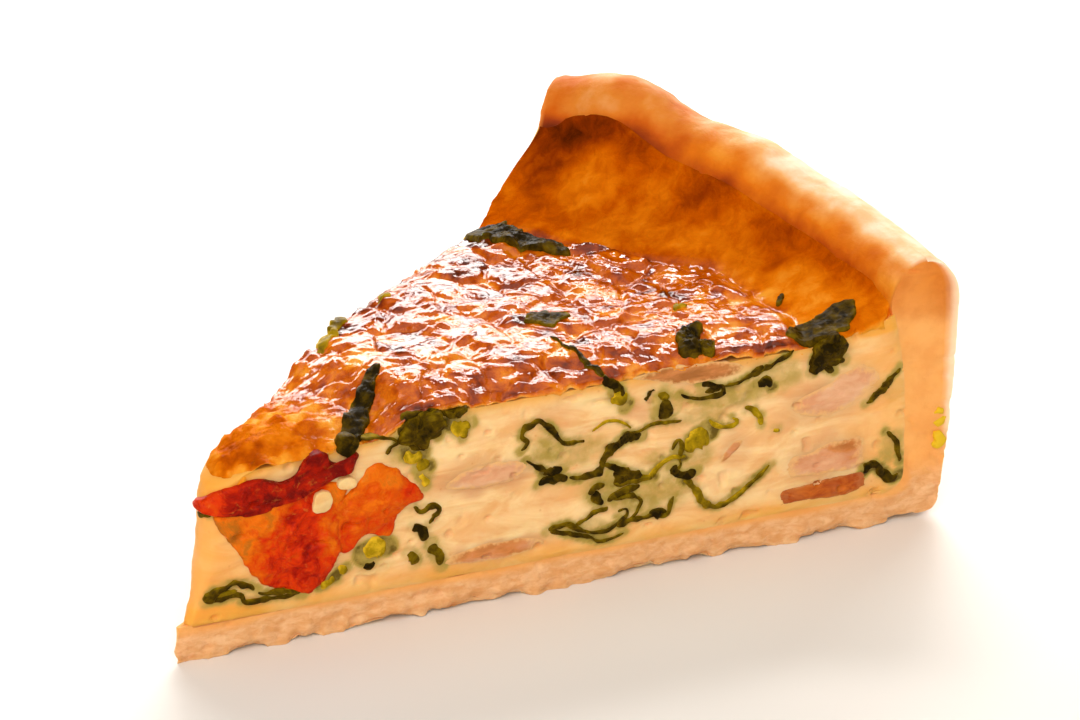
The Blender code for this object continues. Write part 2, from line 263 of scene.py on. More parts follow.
def front(along, into, up):
    """Points on the front cut: along it, up it, and how far below the custard's own relief."""
    return on_cut(0, along, into - cut_relief(on_cut(0, along, 0.0, up)), up)


def back(along, into, up):
    """Points on the back cut, likewise."""
    return on_cut(1, along, into - cut_relief(on_cut(1, along, 0.0, up)), up)


# ---------------------------------------------------------------- meshes
def block_shell(counts):
    """Lattice points and outward quads on the six sides of a block of cells.

    The points are fractions from 0 to 1 of the three directions, which go outwards, upwards and
    then back from the front cut; sides share their edge points.
    """
    counts = np.array(counts)
    quads = []
    for axis in range(3):
        first, second = (axis + 1) % 3, (axis + 2) % 3
        rows, columns = np.meshgrid(
            np.arange(counts[first]), np.arange(counts[second]), indexing="ij")
        for end in (0, 1):
            corners = []
            steps = ((0, 0), (1, 0), (1, 1), (0, 1))
            for row_step, column_step in steps[::-1] if end else steps:
                corner = np.empty(rows.shape + (3,), int)
                corner[..., axis] = end * counts[axis]
                corner[..., first] = rows + row_step
                corner[..., second] = columns + column_step
                corners.append(corner.reshape(-1, 3))
            quads.append(np.stack(corners, axis=1))
    lattice = np.concatenate(quads)
    size = counts + 1
    key = (lattice[..., 0] * size[1] + lattice[..., 1]) * size[2] + lattice[..., 2]
    unique, faces = np.unique(key, return_inverse=True)
    place = [unique // (size[1] * size[2]), unique // size[2] % size[1], unique % size[2]]
    return np.stack(place, axis=1) / counts, faces.reshape(-1, 4)


def vertex_normals(vertices, faces):
    """Unit normals: the faces' cross products summed at their corners."""
    cross = np.cross(
        vertices[faces[:, 2]] - vertices[faces[:, 0]], vertices[faces[:, 3]] - vertices[faces[:, 1]])
    normals = np.zeros_like(vertices)
    for column in range(4):
        np.add.at(normals, faces[:, column], cross)
    return normals / np.maximum(np.linalg.norm(normals, axis=1, keepdims=True), 1e-12)


def tube_faces(rings, around):
    """Faces of a closed tube: quads between its rings, and triangles to a pole at each end.

    The two poles come after the rings' points. A triangle's fourth corner is -1.
    """
    ring, side = np.meshgrid(np.arange(rings - 1), np.arange(around), indexing="ij")
    after = (side + 1) % around
    quads = [ring * around + side, ring * around + after, (ring + 1) * around + after,
             (ring + 1) * around + side]
    side = np.arange(around)
    after = (side + 1) % around
    none = np.full(around, -1)
    last = (rings - 1) * around
    start = [after, side, none + 1 + rings * around, none]
    end = [last + side, last + after, none + 2 + rings * around, none]
    return np.concatenate([np.stack(corners, axis=-1).reshape(-1, 4) for corners in (quads, start, end)])


def facing_out(points, faces):
    """The same faces, turned over if the volume they enclose comes out negative."""
    first, second, third, fourth = (points[faces[:, column]] for column in range(4))
    fourth = np.where(faces[:, 3:] < 0, third, fourth)
    volume = np.sum(np.cross(first, second) * third) + np.sum(np.cross(first, third) * fourth)
    return faces[:, ::-1] if volume < 0 else faces


def join(parts):
    """One set of vertices, faces and attributes from several."""
    offset = 0
    faces = []
    for vertices, corners, _ in parts:
        faces.append(np.where(corners < 0, -1, corners + offset))
        offset += len(vertices)
    names = parts[0][2].keys()
    marks = {name: np.concatenate([part[2][name] for part in parts]) for name in names}
    return np.concatenate([part[0] for part in parts]), np.concatenate(faces), marks


def add_piece(name, shape, material, replaced=(), sharp=180.0):
    """Put a shape in a mesh at its place in the frame, and let it ride on the body."""
    vertices, faces, marks = shape
    mesh = bpy.data.meshes.new(name)
    mesh.vertices.add(len(vertices))
    mesh.vertices.foreach_set("co", ((vertices + APEX) * MM).astype(np.float32).ravel())
    corners = (faces >= 0).sum(axis=1)
    mesh.loops.add(int(corners.sum()))
    mesh.loops.foreach_set("vertex_index", faces[faces >= 0].astype(np.int32))
    mesh.polygons.add(len(faces))
    starts = np.concatenate([[0], np.cumsum(corners)[:-1]])
    mesh.polygons.foreach_set("loop_start", starts.astype(np.int32))
    mesh.update(calc_edges=True)
    for mark, values in marks.items():
        mesh.attributes.new(mark, "FLOAT", "POINT").data.foreach_set(
            "value", np.asarray(values, np.float32))
    mesh.shade_smooth()
    if sharp < 180.0:
        mesh.set_sharp_from_angle(angle=math.radians(sharp))
    piece = bpy.data.objects.new(name, mesh)
    bpy.context.scene.collection.objects.link(piece)
    mesh.materials.append(material)
    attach(piece, "root")
    if replaced:
        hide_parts(*replaced)
    return piece


# ---------------------------------------------------------------- materials
def colour(red, green, blue):
    """Linear colour from its screen values, 0 to 255."""
    values = np.array([red, green, blue]) / 255.0
    linear = np.where(values <= 0.04045, values / 12.92, ((values + 0.055) / 1.055) ** 2.4)
    return (*(float(value) for value in linear), 1.0)


class Finish:
    """A node material: one Principled shader whose inputs are fed by the methods below."""

    def __init__(self, name, **constants):
        self.material = bpy.data.materials.new(name)
        self.material.use_nodes = True
        self.tree = self.material.node_tree
        self.shader = self.tree.nodes["Principled BSDF"]
        self.place = self.node("ShaderNodeTexCoord").outputs["Object"]
        for socket, value in constants.items():
            self.shader.inputs[socket.replace("_", " ")].default_value = value

    def node(self, kind, inputs=None, **settings):
        """A node with its settings, each input either linked from a socket or set to a value."""
        node = self.tree.nodes.new(kind)
        for name, value in settings.items():
            setattr(node, name, value)
        for name, value in (inputs or {}).items():
            if isinstance(value, bpy.types.NodeSocket):
                self.tree.links.new(value, node.inputs[name])
            else:
                node.inputs[name].default_value = value
        return node

    def mark(self, name):
        """The value that an attribute has at each point."""
        return self.node("ShaderNodeAttribute", attribute_name=name).outputs["Fac"]

    def stretched(self, x, y, z):
        """Object coordinates scaled along each axis."""
        mapping = self.node("ShaderNodeMapping", {"Vector": self.place, "Scale": (x, y, z)})
        return mapping.outputs["Vector"]

    def noise(self, size, detail=4.0, rough=0.55, warp=0.0, place=None):
        """Noise with features of that size in millimetres, from 0 to 1."""
        inputs = {"Vector": place or self.place, "Scale": 1.0 / (size * MM), "Detail": detail,
                  "Roughness": rough, "Distortion": warp}
        return self.node("ShaderNodeTexNoise", inputs).outputs["Fac"]

    def cells(self, size, feature="F1", place=None):
        """Distance to the nearest of scattered points that far apart in millimetres."""
        inputs = {"Vector": place or self.place, "Scale": 1.0 / (size * MM)}
        return self.node("ShaderNodeTexVoronoi", inputs, feature=feature).outputs["Distance"]

    def remap(self, value, low, high, start=0.0, end=1.0):
        """Ease from start to end as the value goes from low to high."""
        inputs = {"Value": value, "From Min": low, "From Max": high, "To Min": start, "To Max": end}
        node = self.node("ShaderNodeMapRange", inputs, interpolation_type="SMOOTHSTEP")
        return node.outputs["Result"]

    def math(self, operation, first, second):
        """Arithmetic on two values."""
        return self.node("ShaderNodeMath", {0: first, 1: second}, operation=operation).outputs[0]

    def mix(self, share, first, second, blend="MIX"):
        """Blend two colours."""
        node = self.node("ShaderNodeMix", data_type="RGBA", blend_type=blend)
        for index, value in ((0, share), (6, first), (7, second)):
            if isinstance(value, bpy.types.NodeSocket):
                self.tree.links.new(value, node.inputs[index])
            else:
                node.inputs[index].default_value = value
        return node.outputs[2]

    def ramp(self, value, *stops):
        """Colours along a value, each stop a position and a colour."""
        node = self.node("ShaderNodeValToRGB", {"Fac": value})
        elements = node.color_ramp.elements
        while len(elements) < len(stops):
            elements.new(0.5)
        for element, (position, shade) in zip(elements, stops):
            element.position = position
            element.color = shade
        return node.outputs["Color"]

    def feed(self, socket, value):
        """Link a value to the shader."""
        self.tree.links.new(value, self.shader.inputs[socket])

    def bump(self, height, distance, strength=1.0, below=None):
        """Fine relief in millimetres, which can lie on top of another."""
        inputs = {"Height": height, "Distance": distance * MM, "Strength": strength}
        if below is not None:
            inputs["Normal"] = below
        return self.node("ShaderNodeBump", inputs).outputs["Normal"]


FILM_COLOURS = (
    (0.0, colour(252, 196, 112)), (0.22, colour(246, 160, 46)), (0.42, colour(226, 118, 8)),
    (0.6, colour(194, 84, 0)), (0.8, colour(144, 52, 2)), (1.0, colour(84, 28, 2)))


def pastry_finish():
    """Baked pastry: pale and crumbly where cut, tan outside, deep orange brown inside the wall;
    painted highlights lie along the cut's outer edge and on the rim top by the front cut.
    """
    look = Finish("pastry", Subsurface_Weight=0.15, Subsurface_Scale=0.002,
                  Subsurface_Radius=(1.0, 0.45, 0.2), Specular_IOR_Level=0.15)
    broad = look.noise(9.0, 3.0)
    mottle = look.noise(4.6, 5.0, 0.55, 0.15)
    fine = look.noise(0.8, 5.0, 0.65)
    flakes = look.noise(2.2, 5.0, 0.65, 0.4, look.stretched(1.0, 1.0, 2.4))
    cut = look.mix(
        look.remap(flakes, 0.34, 0.68), colour(224, 160, 100), colour(240, 188, 136))
    cut = look.mix(look.remap(fine, 0.48, 0.34, 0.0, 0.3), cut, colour(206, 140, 84))
    wall_cut = look.mix(look.remap(mottle, 0.35, 0.65), colour(240, 162, 84), colour(248, 176, 98))
    cut = look.mix(look.remap(look.mark("wall"), 0.0, 0.5), cut, wall_cut)
    toasted = look.mix(look.remap(mottle, 0.35, 0.65), colour(204, 108, 20), colour(224, 130, 42))
    cut = look.mix(look.remap(look.mark("wall"), 0.55, 1.0), cut, toasted)
    # Painted highlight: where the pale mark is set, near-white colour stands in for the back light's glow on
    # the cut's outer edge.
    cut = look.mix(look.mark("pale"), cut, colour(255, 224, 188))
    baked_value = look.math("ADD", look.mark("bake"), look.remap(mottle, 0.25, 0.75, -0.08, 0.08))
    baked_value = look.math("ADD", baked_value, look.remap(broad, 0.3, 0.7, -0.06, 0.06))
    # The palest stops are reached on the rim top by the front cut, where they are painted glare.
    baked = look.ramp(
        baked_value,
        (0.0, colour(255, 228, 196)), (0.22, colour(240, 174, 106)), (0.42, colour(222, 130, 40)),
        (0.6, colour(208, 98, 4)), (0.8, colour(176, 66, 0)), (1.0, colour(110, 30, 0)))
    baked = look.mix(look.mark("film"), baked, look.ramp(baked_value, *FILM_COLOURS))
    tan = look.ramp(
        baked_value,
        (0.1, colour(240, 204, 152)), (0.4, colour(216, 156, 90)), (0.7, colour(184, 112, 50)))
    baked = look.mix(look.mark("outside"), baked, tan)
    look.feed("Base Color", look.mix(look.mark("cut"), baked, cut))
    look.feed("Roughness", look.remap(mottle, 0.3, 0.7, 0.5, 0.72))
    relief = look.bump(flakes, 0.35, 0.4)
    look.feed("Normal", look.bump(fine, 0.15, 0.5, relief))
    return look.material


def custard_finish():
    """Set custard: cream and peach in soft level streaks, greenish by the leaves, yellow below."""
    look = Finish("custard", Subsurface_Weight=0.4, Subsurface_Scale=0.003,
                  Subsurface_Radius=(1.0, 0.5, 0.25), Specular_IOR_Level=0.2)
    level = look.stretched(1.0, 1.0, 3.0)
    streaks = look.noise(9.0, 4.0, 0.6, 0.8, level)
    clouds = look.noise(5.0, 4.0, 0.6, 0.5)
    fine = look.noise(1.1, 4.0, 0.6)
    cream = look.mix(look.remap(streaks, 0.32, 0.66), colour(238, 180, 114), colour(252, 212, 152))
    peach = look.mix(look.remap(clouds, 0.5, 0.74, 0.0, 0.5), cream, colour(236, 166, 108))
    pink = look.mix(look.mark("pink"), peach, colour(208, 142, 96))
    yellow = look.mix(look.mark("yellow"), pink, colour(246, 166, 66))
    stain = look.math("MULTIPLY", look.mark("green"), look.remap(look.noise(1.7), 0.3, 0.7, 0.75, 1.2))
    film = look.mix(look.remap(stain, 0.0, 0.75), yellow, colour(176, 148, 66))
    green = look.mix(look.remap(stain, 0.7, 1.15), film, colour(104, 82, 8))
    specks = look.remap(look.cells(2.6), 0.0, 0.1, 0.4, 0.0)
    look.feed("Base Color", look.mix(specks, green, colour(206, 124, 50)))
    look.feed("Roughness", look.remap(clouds, 0.3, 0.7, 0.35, 0.5))
    relief = look.bump(streaks, 0.8, 0.25)
    look.feed("Normal", look.bump(fine, 0.25, 0.4, relief))
    return look.material


def skin_finish():
    """Browned top: oily orange brown skin, darker on some blisters, with a clear wet coat."""
    look = Finish("browned_top", Subsurface_Weight=0.1, Subsurface_Scale=0.002,
                  Subsurface_Radius=(1.0, 0.4, 0.15), Coat_Roughness=0.06, Specular_IOR_Level=0.0)
    mottle = look.noise(2.6, 5.0, 0.62, 0.5)
    fine = look.noise(0.5, 5.0, 0.7)
    dry = look.mark("dry")
    spread = look.math("MULTIPLY", look.remap(mottle, 0.25, 0.75, -0.2, 0.2),
                       look.remap(dry, 0.0, 1.0, 1.0, 0.45))
    value = look.math("ADD", look.mark("bake"), spread)
    skin = look.ramp(value, *FILM_COLOURS)
    look.feed("Base Color", skin)
    rough = look.remap(mottle, 0.3, 0.7, 0.3, 0.42)
    look.feed("Roughness", look.math("ADD", rough, look.math("MULTIPLY", dry, 0.2)))
    look.feed("Coat Weight", look.remap(dry, 0.0, 1.0, 0.72, 0.0))
    wrinkles = look.noise(1.3, 4.0, 0.65, 0.8)
    look.feed("Normal", look.bump(fine, 0.2, 0.7, look.bump(wrinkles, 0.6, 0.6)))
    grains = look.noise(0.8, 1.5, 0.5)
    look.feed("Coat Normal", look.bump(grains, 0.1, 0.6, look.bump(wrinkles, 0.12, 0.25)))
    return look.material


def leaf_finish():
    """Cooked spinach: nearly black green, olive where thin, yellow green in the stalks."""
    look = Finish("spinach", Subsurface_Weight=0.1, Subsurface_Scale=0.001,
                  Subsurface_Radius=(0.6, 1.0, 0.2), Specular_IOR_Level=0.03,
                  Coat_Roughness=0.08)
    patches = look.noise(1.4, 4.0, 0.65, 0.5)
    tone = look.math("ADD", look.mark("tone"), look.remap(patches, 0.3, 0.7, -0.16, 0.16))
    leaf = look.ramp(
        tone,
        (0.0, colour(34, 24, 2)), (0.25, colour(80, 60, 2)), (0.5, colour(122, 98, 6)),
        (0.75, colour(168, 136, 10)), (1.0, colour(226, 184, 40)))
    look.feed("Base Color", leaf)
    look.feed("Roughness", look.remap(patches, 0.3, 0.7, 0.34, 0.55))
    look.feed("Coat Weight", look.mark("wet"))
    look.feed("Normal", look.bump(look.noise(0.6, 4.0, 0.6), 0.2, 0.6))
    return look.material


def bacon_finish():
    """Cooked bacon: pale pink lean that fades into the custard, redder parts, a brown rind."""
    look = Finish("bacon", Subsurface_Weight=0.3, Subsurface_Scale=0.002,
                  Subsurface_Radius=(1.0, 0.4, 0.25), Specular_IOR_Level=0.15)
    grain = look.noise(3.0, 4.0, 0.6, 1.0, look.stretched(1.0, 1.0, 2.6))
    fine = look.noise(0.8, 4.0, 0.6)
    value = look.math("ADD", look.mark("red"), look.remap(grain, 0.3, 0.7, -0.1, 0.1))
    lean = look.ramp(
        value, (0.0, colour(238, 188, 146)), (0.4, colour(222, 158, 114)),
        (0.7, colour(210, 134, 74)), (1.0, colour(168, 104, 48)))
    rind = look.mix(look.remap(grain, 0.3, 0.7), colour(162, 62, 4), colour(200, 104, 28))
    meat = look.mix(look.mark("rind"), lean, rind)
    rim = look.math("ADD", look.mark("edge"), look.remap(fine, 0.3, 0.7, -0.12, 0.12))
    fade = look.math("MULTIPLY", look.remap(rim, 0.66, 1.0), look.remap(look.mark("rind"), 0.0, 1.0, 0.9, 0.15))
    look.feed("Base Color", look.mix(fade, meat, colour(240, 182, 116)))
    look.feed("Roughness", look.remap(grain, 0.3, 0.7, 0.35, 0.5))
    look.feed("Normal", look.bump(fine, 0.2, 0.5))
    return look.material


def tomato_finish():
    """Roasted tomato: wet red flesh turning orange and tan, with a dark wrinkled skin."""
    look = Finish("tomato", Subsurface_Weight=0.15, Subsurface_Scale=0.002,
                  Subsurface_Radius=(1.0, 0.25, 0.08), Specular_IOR_Level=0.06)
    pulp = look.noise(2.0, 5.0, 0.65, 0.9)
    fibres = look.noise(0.9, 4.0, 0.7, 0.6)
    value = look.math("ADD", look.mark("tone"), look.remap(pulp, 0.3, 0.7, -0.15, 0.15))
    flesh = look.ramp(
        value,
        (0.0, colour(112, 10, 4)), (0.2, colour(168, 24, 2)), (0.4, colour(212, 50, 2)),
        (0.6, colour(216, 82, 2)), (0.78, colour(232, 112, 10)), (1.0, colour(186, 104, 20)))
    look.feed("Base Color", look.mix(look.remap(fibres, 0.56, 0.76, 0.0, 0.35), flesh,
                                     colour(238, 150, 60)))
    look.feed("Roughness", look.remap(pulp, 0.3, 0.7, 0.24, 0.44))
    look.feed("Normal", look.bump(fibres, 0.3, 0.6))
    return look.material


# ---------------------------------------------------------------- pastry
UNDERSIDE_SHARE = 0.71         # where along the pastry, from tip to top, each stretch ends
CORNER_SHARE = 0.74
WALL_SHARE = 0.93
PASTRY_COUNTS = (400, 14, 110)


def stretch_share(along, start, end):
    """How far along one stretch a point is, from 0 to 1."""
    return np.clip((along - start) / (end - start), 0.0, 1.0)


def pastry_outside(along, angle):
    """Underside, heel, outer wall and outer half of the rolled rim, as radius and height."""
    shoulder = SHOULDER_HEIGHT + rim_lift(angle)
    heel_radius = FOOT_RADIUS - HEEL_RADIUS
    heel_height = HEEL_LIFT + HEEL_RADIUS
    base = stretch_share(along, 0.0, UNDERSIDE_SHARE)
    turn = stretch_share(along, UNDERSIDE_SHARE, CORNER_SHARE) * np.pi / 2
    rise = stretch_share(along, CORNER_SHARE, WALL_SHARE)
    roll = stretch_share(along, WALL_SHARE, 1.0) * np.pi / 2
    lip = lip_radius(angle)
    middle = (OUTER_RADIUS + lip) / 2
    radius = lerp(TIP_RADIUS, heel_radius, base)
    height = HEEL_LIFT * smoothstep(HEEL_START, heel_radius, radius)
    on_heel = along > UNDERSIDE_SHARE
    radius = np.where(on_heel, heel_radius + HEEL_RADIUS * np.sin(turn), radius)
    height = np.where(on_heel, heel_height - HEEL_RADIUS * np.cos(turn), height)
    on_wall = along > CORNER_SHARE
    bulge = 1.0 - (1.0 - rise) ** 2
    radius = np.where(on_wall, lerp(FOOT_RADIUS, OUTER_RADIUS, bulge), radius)
    height = np.where(on_wall, lerp(heel_height, shoulder, rise), height)
    on_roll = along > WALL_SHARE
    radius = np.where(on_roll, middle + (OUTER_RADIUS - middle) * np.cos(roll), radius)
    height = np.where(on_roll, shoulder + RIM_ROLL * np.sin(roll), height)
    return radius, height


def pastry_inside(along, angle):
    """Top of the base, inner corner, inner wall and inner half of the rim, likewise."""
    shoulder = SHOULDER_HEIGHT + rim_lift(angle)
    corner = BASE_THICKNESS + CORNER_RADIUS
    base = stretch_share(along, 0.0, UNDERSIDE_SHARE)
    turn = stretch_share(along, UNDERSIDE_SHARE, CORNER_SHARE) * np.pi / 2
    rise = stretch_share(along, CORNER_SHARE, WALL_SHARE)
    roll = stretch_share(along, WALL_SHARE, 1.0) * np.pi / 2
    lip = lip_radius(angle)
    middle = (OUTER_RADIUS + lip) / 2
    radius = lerp(TIP_RADIUS + 0.5, INNER_RADIUS - CORNER_RADIUS, base)
    height = np.full_like(radius, BASE_THICKNESS)
    in_corner = along > UNDERSIDE_SHARE
    radius = np.where(in_corner, INNER_RADIUS - CORNER_RADIUS * (1.0 - np.sin(turn)), radius)
    height = np.where(in_corner, corner - CORNER_RADIUS * np.cos(turn), height)
    on_wall = along > CORNER_SHARE
    wall_height = lerp(corner, shoulder, rise)
    radius = np.where(on_wall, inner_radius(wall_height, angle), radius)
    height = np.where(on_wall, wall_height, height)
    on_roll = along > WALL_SHARE
    radius = np.where(on_roll, middle - (middle - lip) * np.cos(roll), radius)
    height = np.where(on_roll, shoulder + RIM_ROLL * np.sin(roll), height)
    return radius, height


def pastry_shape():
    """Block of cells from tip to rim top, from outside to inside, and from cut to cut.

    The outside and inside outlines are blended across the thickness and turned about the point
    of the wedge. Noise then moves each point along its normal: soft crumbs on the cuts, gentle
    unevenness and small flakes on the baked sides. The lower edges of the cuts are worn away:
    their faces tuck in and their undersides rise, by amounts that a coarse noise decides.
    """
    share, faces = block_shell(PASTRY_COUNTS)
    along, across, angle = share[:, 0], share[:, 1], share[:, 2] * SLICE_ANGLE
    outer_r, outer_z = pastry_outside(along, angle)
    inner_r, inner_z = pastry_inside(along, angle)
    radius, height = lerp(outer_r, inner_r, across), lerp(outer_z, inner_z, across)
    points = turned(radius, height, angle)
    normals = vertex_normals(points, faces)
    depth = cut_depth(points)
    cut = 1.0 - smoothstep(0.0, 0.25, depth)
    tip = 1.0 - smoothstep(2.0, 5.0, radius)
    on_side = (share[:, 2] == 0.0) | (share[:, 2] == 1.0)
    cut = np.where(on_side, 1.0, np.maximum(cut, tip))
    wall = smoothstep(INNER_RADIUS - 5.0, INNER_RADIUS, radius)
    crumb = 0.12 * fractal(points, 2.4, 3) + 0.07 * fractal(points, 0.8, 2, 3.0)
    pits = -0.3 * smoothstep(0.5, 0.95, fractal(points * (1.0, 1.0, 1.6), 2.1, 3, 9.0))
    low = smoothstep(3.4, 0.8, height) * (1.0 - 0.7 * wall)
    lumps = low * (0.35 * fractal(points, 1.7, 3, 17.0) + 0.1)
    swell = 0.55 * noise(points, 14.0, 2.0) + 0.32 * noise(points, 6.0, 4.0)
    flakes = 0.11 * fractal(points, 1.8, 4, 1.0)
    rim = smoothstep(WALL_SHARE - 0.05, WALL_SHARE + 0.02, along)
    shown = smoothstep(0.5, 3.5, height - SHOULDER_HEIGHT - rim_lift(angle))
    swell = swell * np.where(across > 0.5, shown, 1.0)
    baked = (swell * (1.0 - 0.45 * rim) + flakes) * (1.0 - 0.6 * (across < 0.5) * (1.0 - rim))
    seam = smoothstep(0.45, 1.0, across)
    cut_face = lerp(crumb + pits + lumps, cut_relief(points) - 0.03, seam)
    relief = np.where(cut > 0.5, cut_face, baked * (1.0 - cut))
    wear = np.clip(0.30 + 0.75 * fractal(points * (1.0, 1.0, 0.3), 2.6, 3, 7.0), 0.0, 1.0)
    wear = wear * smoothstep(FOOT_RADIUS - 1.0, FOOT_RADIUS - 9.0, radius)
    outward = np.where(cut[:, None] > 0.5, cut_outward(points, 2.0 * TIP_RADIUS), normals)
    tuck = wear * smoothstep(1.7, 0.0, height) * 1.3
    moved = points + outward * (relief - tuck * (cut > 0.5))[:, None]
    underside = (across == 0.0) & (along < UNDERSIDE_SHARE)
    worn = smoothstep(2.2, 0.0, depth) * wear * 1.25
    moved[:, 2] = np.where(underside, points[:, 2] + worn, moved[:, 2])
    moved[:, 2] = np.maximum(moved[:, 2], 0.02)
    return (moved, faces, pastry_marks(points, along, across, angle, cut))


# Brownness of the rim top at these angles. The near-white values by the front cut are a painted highlight, the
# back light's glare; the rest is browning.
RIM_BAKE_AND_PAINTED_GLARE = ((0.0, 12.0, 18.0, 22.0, 30.0, 36.0, 41.5), (0.07, 0.06, 0.12, 0.24, 0.52, 0.44, 0.48))


# How far up the rim's roll the brown film reaches, at these angles, as a share of the roll.
FILM_TOP = ((0.0, 8.0, 26.0, 31.0, 36.0, 41.5), (0.6, 0.78, 0.8, 0.55, 0.25, 0.2))


def pastry_marks(points, along, across, angle, cut):
    """How far each point is baked, with painted glare on the rim top by the front cut and painted
    shade under the lip, how much of that is the film's or the outside's colour, how much of the cut
    is wall (0.5) or toasted rim (1), and where a painted highlight lightens the cut's outer edge."""
    height = points[:, 2]
    above = height - SHOULDER_HEIGHT - rim_lift(angle)
    inside = across > 0.5
    blotch = noise(points, 7.0, 50.0)
    ragged = 0.5 * blotch + 0.3 * noise(points, 3.0, 51.0)
    ridge = smoothstep(0.76 * RIM_ROLL, 0.97 * RIM_ROLL, above + 0.5 * ragged)
    # Rim top colour: browning, with painted glare near the front cut.
    rim_top = np.interp(np.degrees(angle), *RIM_BAKE_AND_PAINTED_GLARE) + 0.05 * blotch
    roll = lerp(0.40, 0.46, smoothstep(0.1, 0.7, angle)) + 0.08 * noise(points, 5.0, 52.0)
    film_top = RIM_ROLL * np.interp(np.degrees(angle), *FILM_TOP) - 1.6 * ragged
    film = np.where(inside, 1.0 - smoothstep(film_top - 1.5, film_top + 1.5, above), 0.0)
    lighter = 0.1 * smoothstep(0.0, 0.8 * RIM_ROLL, above)
    bake_inside = lerp(roll, wall_bake_and_lip_shade(points, angle) - lighter, film)
    outer = lerp(0.34, 0.42, smoothstep(4.0, 30.0, height)) + 0.05 * blotch
    outer = outer + 0.06 * smoothstep(0.3, 0.9, noise(points, 3.2, 53.0))
    bake_outside = lerp(outer, rim_top, smoothstep(0.3 * RIM_ROLL, 0.9 * RIM_ROLL, above))
    bake_inside = lerp(bake_inside, rim_top, ridge)
    film = film * (1.0 - ridge)
    outside = np.where(inside, 0.0, 1.0 - smoothstep(-2.0, 0.7 * RIM_ROLL, above + ragged))
    below = (across < 0.5) & (along < UNDERSIDE_SHARE)
    bake = np.where(below, 0.2, np.where(inside, bake_inside, bake_outside))
    wall = smoothstep(INNER_RADIUS - 9.0, INNER_RADIUS, np.hypot(points[:, 0], points[:, 1]))
    wall = 0.5 * wall * smoothstep(3.0, 10.0, height)
    wall = np.maximum(wall, 0.5 * smoothstep(0.6, 1.0, across + 0.1 * blotch))
    toasted = smoothstep(24.0, 31.0, height + 2.0 * (1.0 - across))
    # pale: a painted highlight, near-white along the cut's outer edge above the base, for the back light's
    # glow.
    pale = smoothstep(0.2, 0.0, across + 0.05 * ragged) * smoothstep(8.0, 14.0, height)
    wall = np.maximum(wall, toasted * (0.88 + 0.12 * blotch))
    return {"bake": bake, "cut": cut, "wall": wall, "film": film, "pale": pale, "outside": outside}


# ---------------------------------------------------------------- custard and its browned top
CUSTARD_COUNTS = (330, 84, 24)
SKIN_COUNTS = (430, 214)
EDGE_ROWS = ((0.0045, 1.0), (0.0, 1.0), (0.0005, 0.66), (0.001, 0.33))
SINK = 0.25                    # how far the filling reaches into the pastry, so no gap shows


def wall_radius(height, angle):
    """Inside of the pastry at any height, with its rounded corner above the base."""
    corner = np.clip(BASE_THICKNESS + CORNER_RADIUS - height, 0.0, CORNER_RADIUS)
    inset = CORNER_RADIUS - np.sqrt(CORNER_RADIUS ** 2 - corner ** 2)
    return inner_radius(height, angle) - inset


def skin_height(points):
    """Top of the browned skin: the filling's height, blisters, hollows and fine wrinkles.

    Blisters are flattened domes round scattered centres, two sizes of them, with a crease where
    they meet. Ridged noise wrinkles their tops. The skin is calmer at the tip and on the wall.
    """
    flat = points[..., :2]
    radius = np.linalg.norm(flat, axis=-1)
    angle = np.clip(np.arctan2(flat[..., 1], flat[..., 0]), 0.0, SLICE_ANGLE)
    plane = np.concatenate([flat, np.zeros(flat.shape[:-1] + (1,))], axis=-1)
    warp = np.stack([fractal(plane, 4.0, 3, 1.0), fractal(plane, 4.0, 3, 6.0)], axis=-1)
    near, second, value = scattered(flat + 1.6 * warp, 6.2)
    dome = (0.3 + 0.7 * value) * (1.0 - smoothstep(0.35, 0.95, near))
    crease = 1.0 - smoothstep(0.0, 0.22, second - near)
    near_small, _, value_small = scattered(flat + 0.9 * warp, 2.6, 8.0)
    small = value_small * (1.0 - smoothstep(0.0, 0.8, near_small))
    ridges = 2.0 * np.sqrt(np.abs(fractal(plane, 2.6, 3, 5.0))) - 1.0
    fine = np.sqrt(np.abs(noise(plane, 0.9, 27.0)))
    from_foot = radius - wall_foot(angle) + 1.3 * noise(plane, 6.0, 41.0)
    near_wall = smoothstep(-1.0, 2.4, from_foot)
    blistered = smoothstep(19.0, 32.0, radius) * (1.0 - near_wall)
    bumps = 0.95 * dome - 0.12 * crease + 0.4 * small + (0.04 + 0.04 * dome) * ridges
    bumps += 0.05 * fine + 0.4 * noise(plane, 11.0, 2.0)
    calm = 0.35 * noise(plane, 7.0, 3.0) + 0.65 * small + 0.2 * ridges + 0.16 * fine
    film = 0.3 * noise(plane, 6.0, 31.0) + 0.05 * small + 0.02 * ridges
    edge_of_wall = -0.4 * np.exp(-((from_foot - 1.4) / 1.3) ** 2)
    bumps = lerp(lerp(calm, bumps, blistered), film, near_wall) + edge_of_wall
    bulge = 0.95 * smoothstep(0.0, 6.0, cut_depth(flat)) - 0.1
    return filling_height(radius, angle) + bumps + bulge, dome - crease, blistered, from_foot


